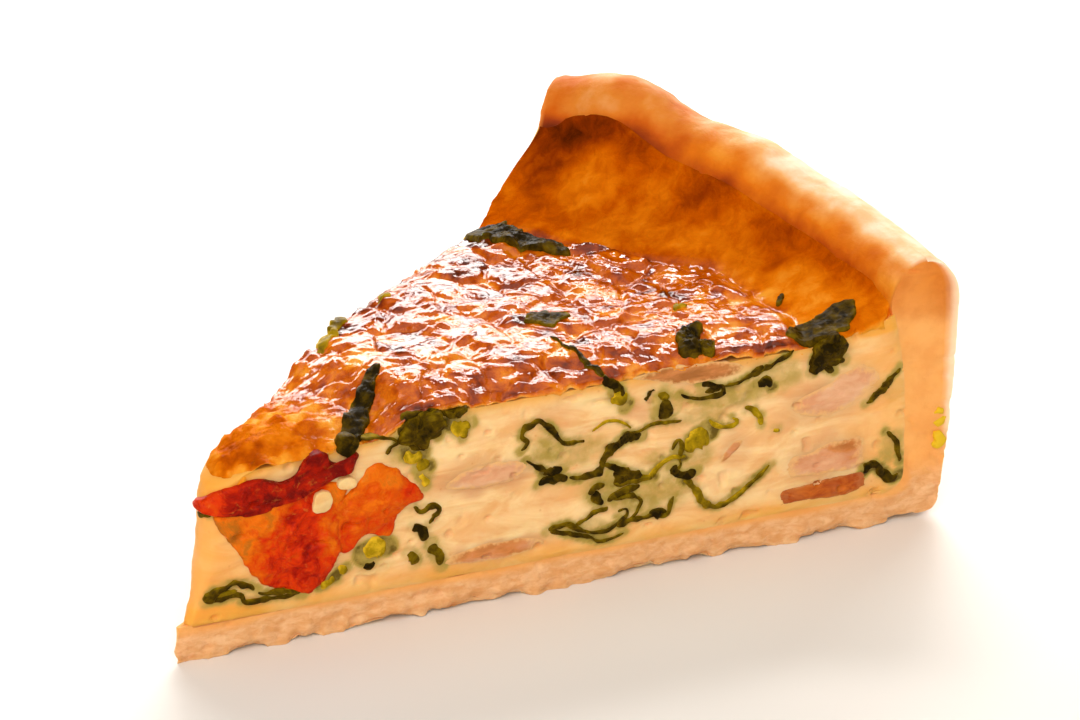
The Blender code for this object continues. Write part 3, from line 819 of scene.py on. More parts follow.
STAINS = (
    ((49.0, 19.8), (3.4, 2.4), 0.62), ((53.0, 18.2), (4.4, 2.2), 0.46), ((48.6, 21.6), (2.0, 1.6), 0.3),
    ((58.0, 12.4), (4.6, 3.2), 0.62), ((62.0, 10.6), (4.2, 2.8), 0.58), ((66.4, 11.4), (3.4, 3.4), 0.5),
    ((56.0, 7.6), (6.0, 1.4), 0.42), ((64.4, 15.4), (3.0, 2.2), 0.4), ((69.2, 14.6), (2.8, 3.2), 0.44),
    ((74.0, 22.4), (6.6, 1.9), 0.56), ((80.4, 24.2), (4.6, 2.6), 0.5), ((70.0, 20.6), (4.4, 1.9), 0.42),
    ((58.0, 25.6), (2.2, 2.2), 0.5), ((64.4, 23.4), (2.6, 2.2), 0.5), ((70.6, 23.8), (2.2, 1.0), 0.5),
    ((97.2, 11.0), (1.7, 2.8), 0.5), ((96.6, 19.4), (2.2, 2.4), 0.26), ((87.6, 25.8), (3.4, 2.0), 0.3),
    ((37.2, 24.6), (1.8, 2.2), 0.6), ((30.8, 22.4), (2.6, 2.0), 0.62), ((32.4, 19.4), (1.4, 2.0), 0.5),
    ((25.4, 9.0), (2.8, 2.6), 0.42), ((19.8, 7.2), (1.8, 1.3), 0.42), ((33.0, 8.4), (2.8, 2.0), 0.34),
    ((12.4, 7.0), (3.0, 0.9), 0.5), ((7.0, 8.2), (2.4, 0.9), 0.4), ((26.0, 25.0), (2.6, 0.8), 0.3))
BLUSHES = (
    ((41.0, 17.4), (7.2, 2.2), 0.7), ((38.4, 20.2), (4.0, 1.4), 0.3), ((42.6, 7.2), (6.6, 1.5), 0.6),
    ((38.6, 5.6), (6.0, 1.6), 0.4), ((61.0, 22.8), (2.4, 1.6), 0.55), ((70.0, 26.6), (8.0, 1.5), 0.6),
    ((88.0, 19.8), (7.6, 3.4), 0.45), ((92.8, 21.6), (3.0, 2.4), 0.5), ((88.0, 11.4), (6.6, 3.4), 0.5),
    ((74.4, 15.0), (2.4, 3.0), 0.3), ((84.0, 17.4), (4.0, 1.6), 0.25), ((50.0, 23.6), (3.0, 3.0), 0.2),
    ((99.0, 27.0), (4.0, 5.0), 0.3), ((94.4, 5.8), (5.0, 1.2), 0.3))


def spotted(points, spots, seed):
    """Soft ellipses on the front cut, each a centre, half sizes and strength, blurred by noise."""
    total = np.zeros(len(points))
    shift = 0.8 * np.stack([noise(points, 2.6, seed), noise(points, 2.6, seed + 4.0)], axis=1)
    flat = points[:, [0, 2]] + shift
    for centre, half, strength in spots:
        gap = np.linalg.norm((flat - centre) / half, axis=1)
        total = np.maximum(total, strength * smoothstep(1.35, 0.45, gap))
    return total * (points[:, 1] < 1.0)


def custard_shape():
    """Block of cells from tip to wall, from base to top, and from cut to cut.

    Its columns across the slice lie closer towards the cuts, so the rounded tip is smooth.
    """
    share, faces = block_shell(CUSTARD_COUNTS)
    half = SLICE_ANGLE / 2
    along, rise = share[:, 0], share[:, 1]
    angle = half + np.arcsin(math.sin(half) * np.sin(np.pi * (share[:, 2] - 0.5)))
    reach = lerp(tip_reach(SKIN_CORNER, angle), lip_radius(angle) + 1.0, along)
    on_wall = smoothstep(wall_foot(angle), wall_foot(angle) + 8.0, reach)
    under_skin = 0.7 + 1.2 * on_wall * np.sqrt(1.0 - (angle / half - 1.0).clip(-1.0, 1.0) ** 2)
    set_back = 1.4 * on_wall * lerp(1.0, 0.4, smoothstep(0.8, 1.0, share[:, 2]))
    top = filling_height(reach - set_back, angle) - under_skin
    height = lerp(BASE_THICKNESS - SINK, top, rise)
    tip = tip_reach(tip_corner(height), angle)
    radius = lerp(tip, wall_radius(height, angle) + SINK, along)
    points = turned(radius, height, angle)
    on_side = (share[:, 2] == 0.0) | (share[:, 2] == 1.0) | (along == 0.0)
    moved = points + cut_outward(points, tip_corner(height)) * (on_side * cut_relief(points))[:, None]
    low = smoothstep(8.2, 4.8, height)
    by_tip = smoothstep(15.0, 4.0, radius)
    by_skin = smoothstep(2.6, 0.5, top + under_skin - height)
    patches = 0.5 + 0.5 * noise(points * (1.0, 1.0, 2.0), 5.0, 15.0)
    yellow = np.clip(low * (0.5 + 0.4 * patches) + 0.7 * by_tip + 0.9 * by_skin, 0.0, 1.0)
    by_wall = smoothstep(88.0, 98.0, radius) * 0.6
    film = spotted(points, (((94.5, 30.0), (8.0, 3.0), 1.3),), 44.0)
    by_wall = np.maximum(by_wall, film)
    marks = {"yellow": np.maximum(yellow, by_wall), "pink": spotted(points, BLUSHES, 40.0),
             "green": np.maximum(leaf_stain(points), spotted(points, STAINS, 30.0))}
    return moved, faces, marks


# Painted shade in patches on the wall under the lip: at these angles, how dark, and how far down.
UNDER_LIP_SHADE = ((0.0, 8.0, 14.0, 19.0, 24.0, 29.0, 33.0, 37.0, 41.5),
             (0.06, 0.20, 0.34, 0.34, 0.30, 0.20, 0.20, 0.28, 0.28),
             (1.6, 1.8, 2.4, 2.8, 3.2, 2.8, 4.0, 8.0, 8.0))


def wall_bake_and_lip_shade(points, angle):
    """How brown the film on the wall is, darker towards the back cut, with painted shade in patches under the
    lip.
    """
    height = points[..., 2] - SHOULDER_HEIGHT - rim_lift(angle)
    dark, reach = (np.interp(np.degrees(angle), UNDER_LIP_SHADE[0], row) for row in UNDER_LIP_SHADE[1:])
    # Painted shade under the lip, strongest just below it.
    lip_shade = np.exp(-(np.minimum(height - 0.8, 0.0) / reach) ** 2 - (np.maximum(height - 0.8, 0.0) / 2.0) ** 2)
    far = smoothstep(0.1, 0.7, angle)
    patches = 0.75 + 0.6 * noise(points, 5.0, 50.0)
    bake = lerp(0.43, 0.54, far) + 0.08 * noise(points, 14.0, 24.0)
    return bake + 0.14 * fractal(points, 7.0, 4, 28.0) + lip_shade * dark * patches


def skin_rows(count, both_ends):
    """Shares of the way across the skin, and how far each has dropped to its lower edge.

    The first rows, and the last where both ends are cut, go down the edge and tuck in under it.
    """
    share, drop = np.array(EDGE_ROWS).T
    body = np.linspace(EDGE_ROWS[-1][0] * 1.5, 1.0, count)
    if both_ends:
        body = np.linspace(body[0], 1.0 - body[0], count)
        return (np.concatenate([share, body, 1.0 - share[::-1]]),
                np.concatenate([drop, 0.0 * body, drop[::-1]]))
    return np.concatenate([share, body]), np.concatenate([drop, 0.0 * body])


def skin_shape():
    """Sheet over the filling, from tip to wall and from cut to cut, with its rim turned down.

    Its edge is of uneven thickness. Rows down the edge have nearly the same place in plan.
    """
    along, along_drop = skin_rows(SKIN_COUNTS[0], False)
    turn, turn_drop = skin_rows(SKIN_COUNTS[1], True)
    along, turn = np.meshgrid(along, turn, indexing="ij")
    drop = 1.0 - (1.0 - along_drop[:, None]) * (1.0 - turn_drop[None, :])
    angle = turn * SLICE_ANGLE
    tip = tip_reach(SKIN_CORNER, angle)
    reach = lerp(tip - 0.2, lip_radius(angle) + 2.4, along)
    flat = turned(reach, 0.0, angle)
    top, dome, blistered, from_foot = skin_height(flat)
    on_wall = smoothstep(-1.0, 7.0, from_foot)
    lip = lip_radius(angle)
    thickness = lerp(1.05 + 0.4 * noise(flat, 4.0, 20.0) + 0.25 * noise(flat, 1.4, 21.0),
                     1.5 + 1.2 * smoothstep(lip - 3.0, lip, reach), smoothstep(-3.0, 2.0, from_foot))
    points = turned(reach, top - thickness * drop, angle)
    depth = cut_depth(points)
    rounding = smoothstep(1.1, 0.0, np.minimum(depth, reach - tip)) * (1.0 - drop)
    points[..., 2] -= 0.45 * rounding
    edge = smoothstep(0.5, 0.0, np.minimum(depth, reach - tip))
    rough = 0.18 * fractal(points, 1.3, 3, 22.0) + cut_relief(points)
    rough = lerp(rough, -0.6, smoothstep(lip - 0.8, lip + 0.1, reach))
    points += cut_outward(points, SKIN_CORNER) * (edge * rough)[..., None]
    rows, columns = along.shape
    row, column = np.meshgrid(np.arange(rows - 1), np.arange(columns - 1), indexing="ij")
    corner = (row * columns + column).ravel()
    faces = np.stack([corner, corner + columns, corner + columns + 1, corner + 1], axis=1)
    broad = noise(flat, 16.0, 24.0)
    bake = 0.56 + 0.08 * dome + 0.12 * broad + 0.2 * fractal(flat, 3.2, 3, 25.0)
    dark = smoothstep(0.45, 0.9, noise(flat, 4.4, 33.0) + 0.3 * fractal(flat, 1.6, 2, 34.0))
    bake = bake + 0.34 * dark
    bake = lerp(0.42 + 0.06 * broad + 0.24 * fractal(flat, 2.4, 4, 26.0), bake + 0.04, blistered)
    # Near the wall the skin takes the wall film's colour, painted lip shade included; painted shade also
    # darkens the crease at the wall's foot, more towards the back cut.
    crease = np.exp(-((from_foot - 1.4) / 1.8) ** 2)
    bake = lerp(bake, wall_bake_and_lip_shade(points, angle), on_wall)
    bake = bake + 0.2 * crease * smoothstep(0.1, 0.7, angle) ** 0.5
    bake = lerp(bake, 0.14, 0.9 * drop)
    dry = np.maximum(smoothstep(0.0, 4.0, from_foot), 0.86 * (1.0 - smoothstep(17.0, 30.0, reach)))
    marks = {"bake": bake.ravel(), "dry": dry.ravel()}
    return points.reshape(-1, 3), faces, marks


# ---------------------------------------------------------------- leaves in the cut
class Leaf:
    """One leaf seen edge on: its path on the cut (along, up), its thickness at the two ends and
    halfway, its tone from nearly black (0) to yellow green (1), and how far it stains."""

    def __init__(self, path, widths, tone=0.2, stain=0.5):
        self.path = np.array(path, float)
        self.widths = widths
        self.tone = tone
        self.stain = stain


def smooth_path(points, spacing=0.22):
    """Catmull-Rom curve through the points, at even spacing."""
    ends = np.vstack([2 * points[0] - points[1], points, 2 * points[-1] - points[-2]])
    share = np.linspace(0.0, 1.0, 24, endpoint=False)[:, None, None]
    before, here, there, after = ends[:-3], ends[1:-2], ends[2:-1], ends[3:]
    curve = 0.5 * (
        2 * here + (there - before) * share
        + (2 * before - 5 * here + 4 * there - after) * share ** 2
        + (3 * here - before - 3 * there + after) * share ** 3)
    curve = np.vstack([curve.transpose(1, 0, 2).reshape(-1, points.shape[1]), points[-1:]])
    length = np.concatenate([[0.0], np.cumsum(np.linalg.norm(np.diff(curve, axis=0), axis=1))])
    count = max(int(length[-1] / spacing), 4)
    even = np.linspace(0.0, length[-1], count)
    return np.stack([np.interp(even, length, column) for column in curve.T], axis=1)


FRONT_LEAVES = {
    "spinach_base": [
        Leaf([(4.0, 7.6), (5.4, 8.7), (7.4, 9.2), (9.2, 9.0), (10.7, 8.0)], (1.0, 0.7, 0.4), 0.15),
        Leaf([(4.2, 7.5), (6.0, 7.6), (8.4, 7.6), (9.2, 6.6), (11.0, 6.5), (13.6, 6.4), (16.6, 6.3)],
             (0.9, 0.5, 0.7), 0.15),
        Leaf([(10.8, 7.6), (12.4, 7.3), (14.2, 7.1), (16.2, 6.4)], (0.4, 0.6, 0.4), 0.2),
        Leaf([(5.2, 8.2), (6.8, 8.3), (8.2, 8.2)], (0.5, 0.8, 0.4), 0.45),
    ],
    "spinach_loop": [
        Leaf([(45.1, 20.2), (46.2, 21.2), (45.4, 21.9), (45.7, 22.9), (47.3, 23.9), (48.9, 22.9),
              (50.4, 21.0), (51.3, 20.2), (53.0, 20.1), (54.2, 19.9)], (0.45, 0.75, 0.4), 0.12),
        Leaf([(48.2, 23.3), (49.2, 22.5), (50.1, 21.5)], (0.5, 1.1, 0.4), 0.05),
        Leaf([(46.0, 18.7), (47.2, 17.7), (48.6, 16.8), (50.4, 16.2)], (0.4, 0.6, 0.8), 0.12),
        Leaf([(48.4, 16.7), (49.6, 16.4), (50.8, 16.7)], (0.6, 1.2, 0.5), 0.08),
        Leaf([(47.7, 15.0), (48.8, 15.5), (50.2, 15.4), (51.7, 15.1)], (0.5, 0.9, 0.5), 0.1),
    ],
    "spinach_fold": [
        Leaf([(51.6, 15.2), (53.0, 14.9), (54.9, 15.1), (56.0, 15.8), (56.4, 17.0), (57.4, 18.1),
              (59.0, 19.0), (60.6, 19.6), (61.8, 19.1)], (0.4, 0.9, 0.8), 0.1),
        Leaf([(58.6, 18.8), (60.0, 19.4), (61.4, 19.3)], (0.7, 1.4, 0.5), 0.05),
        Leaf([(59.4, 19.9), (61.2, 20.0), (63.0, 20.5), (65.0, 20.5), (67.2, 20.3)],
             (0.3, 0.4, 0.3), 0.3),
        Leaf([(56.4, 16.2), (57.8, 15.5), (59.2, 14.7), (60.9, 13.8), (62.4, 13.0)],
             (0.6, 1.3, 0.6), 0.1),
        Leaf([(57.9, 15.0), (58.9, 14.2), (59.6, 13.3)], (0.9, 2.1, 0.8), 0.04),
        Leaf([(57.8, 13.2), (59.4, 13.3), (61.2, 13.4), (63.4, 13.1)], (0.5, 1.0, 0.6), 0.35),
        Leaf([(54.6, 12.4), (55.3, 13.4), (56.6, 13.5)], (0.6, 0.7, 0.4), 0.25),
        Leaf([(55.1, 12.8), (55.3, 11.8), (56.4, 10.8)], (0.9, 1.2, 0.7), 0.12),
        Leaf([(57.3, 10.7), (57.8, 11.6), (59.4, 12.1), (61.6, 12.3)], (0.6, 0.8, 0.5), 0.22),
        Leaf([(57.7, 11.1), (59.2, 11.2), (60.8, 11.0), (61.7, 10.2), (61.2, 8.8), (60.0, 8.0)],
             (0.5, 0.55, 0.4), 0.28),
        Leaf([(62.8, 13.0), (63.8, 14.2), (65.4, 15.3), (67.8, 15.1)], (0.6, 0.7, 0.4), 0.5),
        Leaf([(66.1, 16.4), (66.6, 17.7), (67.2, 16.8), (66.9, 15.4), (67.1, 14.2), (66.0, 13.4)],
             (0.4, 0.5, 0.4), 0.3),
        Leaf([(65.8, 13.9), (66.8, 13.0), (67.8, 12.6), (69.2, 13.1)], (0.9, 1.3, 0.8), 0.02),
        Leaf([(67.6, 16.2), (69.0, 17.4), (70.8, 18.2)], (1.3, 2.5, 1.0), 0.52, 0.8),
        Leaf([(67.2, 12.2), (68.6, 11.2), (69.8, 9.3), (71.0, 7.8), (72.8, 7.4), (75.0, 8.4),
              (77.6, 10.1), (79.9, 11.9)], (0.9, 0.65, 0.3), 0.42, 0.6),
        Leaf([(55.1, 20.8), (56.1, 21.8), (57.6, 21.9), (59.1, 21.4), (60.1, 20.5)],
             (0.3, 0.35, 0.3), 0.6, 0.3),
    ],
    "spinach_hem": [
        Leaf([(48.7, 8.3), (50.2, 8.0), (52.2, 7.3), (54.0, 6.5), (55.8, 5.9), (57.8, 5.8),
              (59.4, 6.2)], (0.8, 0.4, 0.35), 0.18),
        Leaf([(48.8, 8.4), (50.3, 8.9), (51.6, 8.9), (53.0, 8.0), (54.4, 7.2), (56.2, 6.9),
              (57.8, 7.4), (58.8, 8.2)], (0.7, 0.45, 0.4), 0.2),
        Leaf([(52.6, 8.4), (54.0, 9.1), (55.2, 10.0), (57.2, 10.2)], (0.4, 0.5, 0.6), 0.28),
        Leaf([(58.2, 9.0), (59.4, 9.5), (59.7, 8.8), (58.8, 7.9), (58.5, 7.3), (60.4, 7.6),
              (62.4, 7.9), (63.6, 8.2), (65.0, 7.7), (65.9, 9.0), (66.4, 10.2)],
             (0.4, 0.7, 0.4), 0.22),
        Leaf([(62.8, 8.1), (64.2, 8.1), (65.2, 7.9)], (0.5, 1.0, 0.5), 0.12),
    ],
    "spinach_row": [
        Leaf([(62.1, 24.0), (62.7, 24.7), (63.3, 25.2)], (0.6, 0.6, 0.3), 0.15, 0.2),
        Leaf([(64.0, 22.4), (64.9, 22.3), (65.8, 22.6)], (1.4, 2.6, 1.5), 0.16),
        Leaf([(64.0, 24.0), (64.7, 24.4), (65.3, 23.8)], (0.6, 1.1, 0.6), 0.55),
        Leaf([(66.8, 23.9), (68.5, 23.0), (70.6, 22.7), (72.5, 23.1), (72.7, 23.8), (71.2, 24.6),
              (69.6, 24.9)], (0.4, 0.6, 0.8), 0.12),
        Leaf([(70.4, 23.6), (71.6, 23.9), (72.8, 23.8)], (0.4, 0.9, 0.6), 0.14),
        Leaf([(73.0, 23.8), (74.8, 24.1), (76.8, 24.9), (79.0, 25.5), (81.0, 26.4), (82.8, 27.4)],
             (0.4, 0.55, 0.4), 0.18, 0.7),
        Leaf([(77.8, 23.4), (79.0, 23.6), (79.6, 22.9)], (0.7, 1.3, 0.4), 0.1, 0.7),
        Leaf([(71.0, 19.8), (72.0, 18.8), (73.6, 18.4), (74.8, 18.7), (74.3, 19.7)],
             (0.4, 0.5, 0.4), 0.6),
        Leaf([(76.1, 20.3), (77.6, 19.8), (78.4, 18.8), (78.3, 17.8)], (0.4, 0.8, 0.5), 0.55, 0.4),
        Leaf([(80.1, 16.8), (80.9, 16.7)], (0.5, 0.6, 0.4), 0.7, 0.3),
    ],
    "spinach_hook": [
        Leaf([(93.4, 8.2), (94.6, 9.0), (95.8, 8.4), (96.8, 7.2), (97.8, 6.7), (98.7, 7.1)],
             (0.8, 1.3, 0.4), 0.08, 0.6),
        Leaf([(96.7, 13.4), (97.7, 12.2), (98.4, 10.6), (98.7, 8.8)], (0.4, 0.7, 0.3), 0.15, 0.7),
        Leaf([(98.1, 22.4), (97.0, 21.2), (96.1, 20.1), (94.9, 19.0), (93.3, 18.1)],
             (0.4, 0.9, 0.4), 0.22, 0.4),
        Leaf([(96.6, 20.8), (95.6, 19.6)], (0.5, 1.1, 0.5), 0.1, 0.2),
    ],
    "spinach_step": [
        Leaf([(24.2, 25.6), (25.6, 25.6), (27.2, 25.4), (28.6, 24.9), (29.5, 24.0)],
             (0.3, 0.35, 0.4), 0.3, 0.4),
        Leaf([(27.8, 22.9), (28.3, 23.5), (29.4, 23.9)], (0.4, 0.5, 0.4), 0.2, 0.3),
        Leaf([(29.7, 26.6), (31.4, 27.3), (33.6, 27.4), (35.8, 26.9), (37.6, 27.3)],
             (0.8, 1.3, 0.3), 0.06, 0.3),
        Leaf([(29.6, 24.9), (30.6, 26.0), (31.8, 26.6)], (0.6, 1.7, 0.8), 0.08),
        Leaf([(30.4, 24.6), (31.6, 24.9), (32.6, 25.8), (34.0, 25.9)], (0.5, 1.3, 0.7), 0.1),
        Leaf([(31.0, 24.2), (31.8, 23.4), (32.6, 22.6)], (0.7, 1.2, 0.6), 0.2),
        Leaf([(33.4, 26.4), (34.4, 25.4), (34.4, 24.3)], (0.6, 1.2, 0.4), 0.12),
        Leaf([(30.0, 22.4), (31.2, 21.9), (32.2, 22.3)], (0.9, 1.6, 0.8), 0.62, 0.7),
        Leaf([(31.6, 20.3), (32.4, 20.6), (33.1, 20.5)], (0.8, 1.3, 0.7), 0.5, 0.6),
        Leaf([(32.0, 19.4), (32.5, 18.6), (32.6, 17.8)], (0.7, 1.1, 0.4), 0.85, 0.5),
        Leaf([(36.4, 26.4), (37.2, 26.3), (37.6, 27.2)], (0.4, 0.5, 0.4), 0.25, 0.2),
        Leaf([(36.2, 25.4), (37.4, 24.9), (38.4, 25.3)], (0.9, 1.6, 0.8), 0.68, 0.7),
        Leaf([(37.8, 25.6), (37.9, 24.4), (37.5, 23.4)], (0.5, 0.8, 0.4), 0.6, 0.5),
    ],
    "spinach_corner": [
        Leaf([(85.3, 23.9), (85.8, 25.4), (86.3, 27.0)], (0.5, 1.3, 1.0), 0.08),
        Leaf([(85.9, 25.2), (87.2, 25.3), (88.6, 25.1), (90.0, 24.7)], (0.8, 1.3, 0.4), 0.14),
        Leaf([(86.9, 24.5), (87.8, 23.9), (88.5, 23.5)], (0.6, 1.0, 0.4), 0.12),
        Leaf([(87.0, 26.2), (88.2, 26.4), (89.4, 26.5)], (0.6, 0.9, 0.5), 0.2),
    ],
}

# Small pieces that belong to no bundle: bits of herb and leek round the tomato, and a stalk.
FRONT_BITS = [
    Leaf([(3.6, 18.4), (4.4, 18.9), (5.3, 18.8)], (0.7, 0.8, 0.4), 0.3, 0.3),
    Leaf([(31.0, 15.2), (32.0, 14.5), (33.2, 14.9), (34.2, 14.3), (33.9, 13.2), (33.0, 12.5)],
         (0.5, 0.8, 0.4), 0.25, 0.3),
    Leaf([(31.0, 12.3), (31.6, 12.0), (32.3, 11.2), (32.9, 10.6)], (0.8, 1.2, 0.6), 0.0, 0.2),
    Leaf([(30.4, 9.0), (31.0, 8.3), (31.2, 7.5)], (0.9, 1.4, 0.9), 0.28, 0.4),
    Leaf([(33.4, 9.6), (33.9, 8.2), (34.6, 6.6)], (1.0, 1.6, 0.9), 0.25, 0.4),
    Leaf([(24.6, 10.0), (26.0, 10.6), (27.4, 10.6)], (1.6, 2.6, 1.3), 0.74, 0.7),
    Leaf([(24.5, 8.5), (25.2, 8.2), (25.9, 8.6)], (0.6, 0.8, 0.5), 0.12, 0.3),
    Leaf([(18.8, 6.9), (19.8, 7.1), (20.6, 7.6)], (0.8, 1.0, 0.5), 0.7, 0.8),
    Leaf([(21.2, 8.4), (22.2, 8.7)], (0.7, 0.9, 0.5), 0.66, 0.6),
    Leaf([(56.4, 28.0), (57.2, 27.2), (58.2, 26.2), (59.0, 25.0)], (1.0, 1.2, 0.8), 0.1, 0.7),
    Leaf([(58.0, 26.0), (58.7, 25.0), (59.3, 24.0)], (0.8, 1.6, 0.9), 0.6, 0.9),
    Leaf([(76.8, 25.0), (77.8, 25.2), (78.6, 25.5)], (0.5, 0.8, 0.5), 0.1, 0.3),
    Leaf([(104.7, 15.4), (104.3, 14.2), (104.7, 12.8)], (0.9, 1.6, 0.9), 1.3, 0.3),
    Leaf([(104.2, 12.2), (104.5, 11.0), (104.0, 9.8)], (0.8, 1.5, 0.8), 1.3, 0.3),
]


def leaf_stain(points):
    """How green the custard is: a bell round each leaf's path on the front cut, made uneven."""
    stain = np.zeros(len(points))
    near_front = points[:, 1] < 1.0
    along_up = points[near_front][:, [0, 2]]
    total = np.zeros(len(along_up))
    leaves = [leaf for bundle in FRONT_LEAVES.values() for leaf in bundle] + FRONT_BITS
    for leaf in leaves:
        path = smooth_path(leaf.path, 0.8)
        reach = 0.5 * max(leaf.widths)
        near = np.full(len(along_up), 99.0)
        for spot in path:
            near = np.minimum(near, np.hypot(*(along_up - spot).T))
        gap = np.clip(near - reach, 0.0, None)
        halo = 0.9 * np.exp(-(gap / 0.4) ** 2) + 0.4 * np.exp(-(gap / 1.0) ** 2)
        total = np.maximum(total, leaf.stain * halo)
    stain[near_front] = total
    return np.clip(stain * (0.9 + 0.5 * noise(points, 1.6, 30.0)), 0.0, 1.0)


LEAF_SIDES = 12
LEAF_DEPTH = 1.6
LEAF_PROUD = 0.34


def on_top(x, into, y):
    """Points on the browned top: its place in plan, and how far below the surface."""
    x, into, y = np.broadcast_arrays(x, into, y)
    height = skin_height(np.stack([x, y], axis=-1))[0]
    return np.stack([x, y, height - into], axis=-1)


def leaf_shape(leaf, place, seed, depth=LEAF_DEPTH, proud=LEAF_PROUD):
    """A flat rounded section carried along the leaf's path, frayed by noise, closed at the ends.

    The section is a superellipse: the leaf's thickness across its path, and its depth into the
    slice, of which some stands proud. `place` turns path, depth and path into points.
    """
    path = smooth_path(leaf.path)
    count = len(path)
    share = (np.arange(count) + 0.5) / count
    tangent = np.gradient(path, axis=0)
    tangent /= np.linalg.norm(tangent, axis=1, keepdims=True)
    across = np.stack([-tangent[:, 1], tangent[:, 0]], axis=1)
    width = np.interp(share, (0.0, 0.5, 1.0), leaf.widths)
    spots = np.stack([path[:, 0], np.full(count, seed * 3.1), path[:, 1]], axis=1)
    width = width * (1.2 + 0.4 * noise(spots, 0.9))
    closing = np.sqrt(np.clip(1.0 - np.abs(2.0 * share - 1.0) ** 8, 0.0, 1.0))
    path = path + across * (0.22 * noise(spots, 1.3, 7.0))[:, None]
    turn = np.linspace(0.0, 2.0 * np.pi, LEAF_SIDES, endpoint=False)
    sideways = np.sign(np.cos(turn)) * np.abs(np.cos(turn)) ** 0.5
    inwards = np.sign(np.sin(turn)) * np.abs(np.sin(turn)) ** 0.5
    ragged = np.stack([fractal(spots, 0.9, 2, side) for side in (3.0, 23.0)], axis=1)
    ragged = ragged[:, (np.cos(turn) > 0.0).astype(int)]
    offset = (0.5 * width * closing)[:, None] * sideways * (1.0 + 0.45 * ragged)
    stand = (proud * (1.0 + 0.5 * noise(spots, 1.6, 11.0)))[:, None]
    into = 0.5 * depth * closing[:, None] * inwards + 0.5 * depth - stand
    along = path[:, :1] + across[:, :1] * offset
    up = path[:, 1:] + across[:, 1:] * offset
    poles = place(path[[0, -1], 0], 0.5 * depth - stand[[0, -1], 0], path[[0, -1], 1])
    points = np.concatenate([place(along, into, up).reshape(-1, 3), poles])
    faces = facing_out(points, tube_faces(count, LEAF_SIDES))
    edge = np.concatenate([np.tile(np.abs(np.cos(turn)) ** 3, count), [1.0, 1.0]])
    tone = leaf.tone + 0.03 + 0.32 * edge + 0.16 * noise(points, 1.2, 13.0)
    wet = 0.05 if place is on_top else 0.0
    return points, faces, {"tone": tone, "wet": np.full(len(points), wet)}


# ---------------------------------------------------------------- tomato, bacon and loose leaves
PATCH_ROWS = 30
TIP_SHARE = 0.4                # greatest depth of a patch, as a share of its distance from the tip
PATCH_SIDE = ((1.0, 0.35), (1.0, -0.1), (0.97, -0.45), (0.88, -0.8), (0.6, -1.0))


def closed_path(outline, spacing=0.25):
    """Smooth closed curve through the outline's points."""
    outline = np.array(outline, float)
    wrapped = np.vstack([outline[-2:], outline, outline[:3]])
    path = smooth_path(wrapped, 0.05)
    start = np.argmin(np.linalg.norm(path - outline[0], axis=1)[:len(path) // 2])
    ring = path[start:]
    end = len(ring) // 2 + np.argmin(np.linalg.norm(ring[len(ring) // 2:] - outline[0], axis=1))
    ring = ring[:end]
    return ring[::max(int(spacing / 0.05), 1)]


def patch_shape(place, outline, depth, proud, seed, rough=0.25, fray=0.25, crown=0.0):
    """A closed piece with that outline on the surface that shows.

    Rows of its rim, scaled in towards its middle, cover the face; PATCH_SIDE gives how the rim
    narrows as it goes in. Noise frays the rim and roughens the face, and `crown` domes it.
    """
    rim = closed_path(outline)
    middle = rim.mean(axis=0)
    out = (rim - middle) / np.linalg.norm(rim - middle, axis=1, keepdims=True)
    spots = np.stack([rim[:, 0], np.full(len(rim), seed * 2.3), rim[:, 1]], axis=1)
    rim = rim + out * (fray * fractal(spots, 1.4, 3))[:, None]
    face = np.linspace(0.03, 0.97, PATCH_ROWS)
    scales = np.concatenate([face, [scale for scale, _ in PATCH_SIDE]])
    levels = [1.0 if level > 0.0 else 0.0 for _, level in PATCH_SIDE]
    flat = middle + scales[:, None, None] * (rim - middle)
    plane = np.stack([flat[..., 0], np.full(flat.shape[:2], seed * 1.7), flat[..., 1]], axis=-1)
    ripple = np.clip(0.5 + 0.45 * fractal(plane, 1.9, 4, 2.0), 0.0, 1.0)
    stand = proud + crown * (1.0 - scales[:, None] ** 2) + 2.0 * rough * ripple
    into = -stand
    for row, (_, level) in enumerate(PATCH_SIDE):
        into[PATCH_ROWS + row] = -level * proud if level > 0.0 else -level * depth
    into[PATCH_ROWS - 1] = lerp(into[PATCH_ROWS - 1], into[PATCH_ROWS], 0.3)
    into = np.minimum(into, TIP_SHARE * flat[..., 0])
    depth = min(depth, TIP_SHARE * middle[0])
    poles = place(middle[:1].repeat(2), np.array([into[0].mean(), depth]), middle[1:].repeat(2))
    points = place(flat[..., 0], into, flat[..., 1]).reshape(-1, 3)
    points = np.concatenate([points, poles])
    edge = np.concatenate([np.repeat(scales, len(rim)), [0.0, 0.0]])
    return points, facing_out(points, tube_faces(len(scales), len(rim))), {"edge": edge}


TOMATO_SKIN = (
    (3.2, 19.9), (4.6, 21.0), (6.6, 22.0), (9.2, 22.5), (11.4, 22.8), (12.8, 22.4), (14.4, 22.0),
    (16.0, 22.5), (16.6, 23.5), (17.6, 24.6), (18.8, 24.9), (20.0, 24.4), (20.6, 23.3), (21.6, 22.9),
    (22.8, 23.5), (23.6, 24.1), (24.0, 23.2), (23.5, 21.7), (21.8, 21.3), (20.3, 20.8), (18.4, 20.1),
    (16.2, 19.3), (13.8, 18.8), (11.2, 18.3), (8.6, 18.3), (6.0, 18.8), (4.0, 19.1))
TOMATO_LEFT = (
    (5.4, 18.6), (8, 19.2), (12, 19.8), (17, 20.6), (20.6, 20.6), (22.4, 19.4), (22.2, 17), (21.2, 15),
    (21.4, 13.2), (21.9, 11.6), (21.0, 10.0), (19.8, 8.2), (18.7, 6.9), (17.2, 6.2), (15.2, 6.8),
    (12.8, 7.9), (10.9, 9.3), (9.5, 11.4), (7.9, 14.2), (6.4, 16.7))
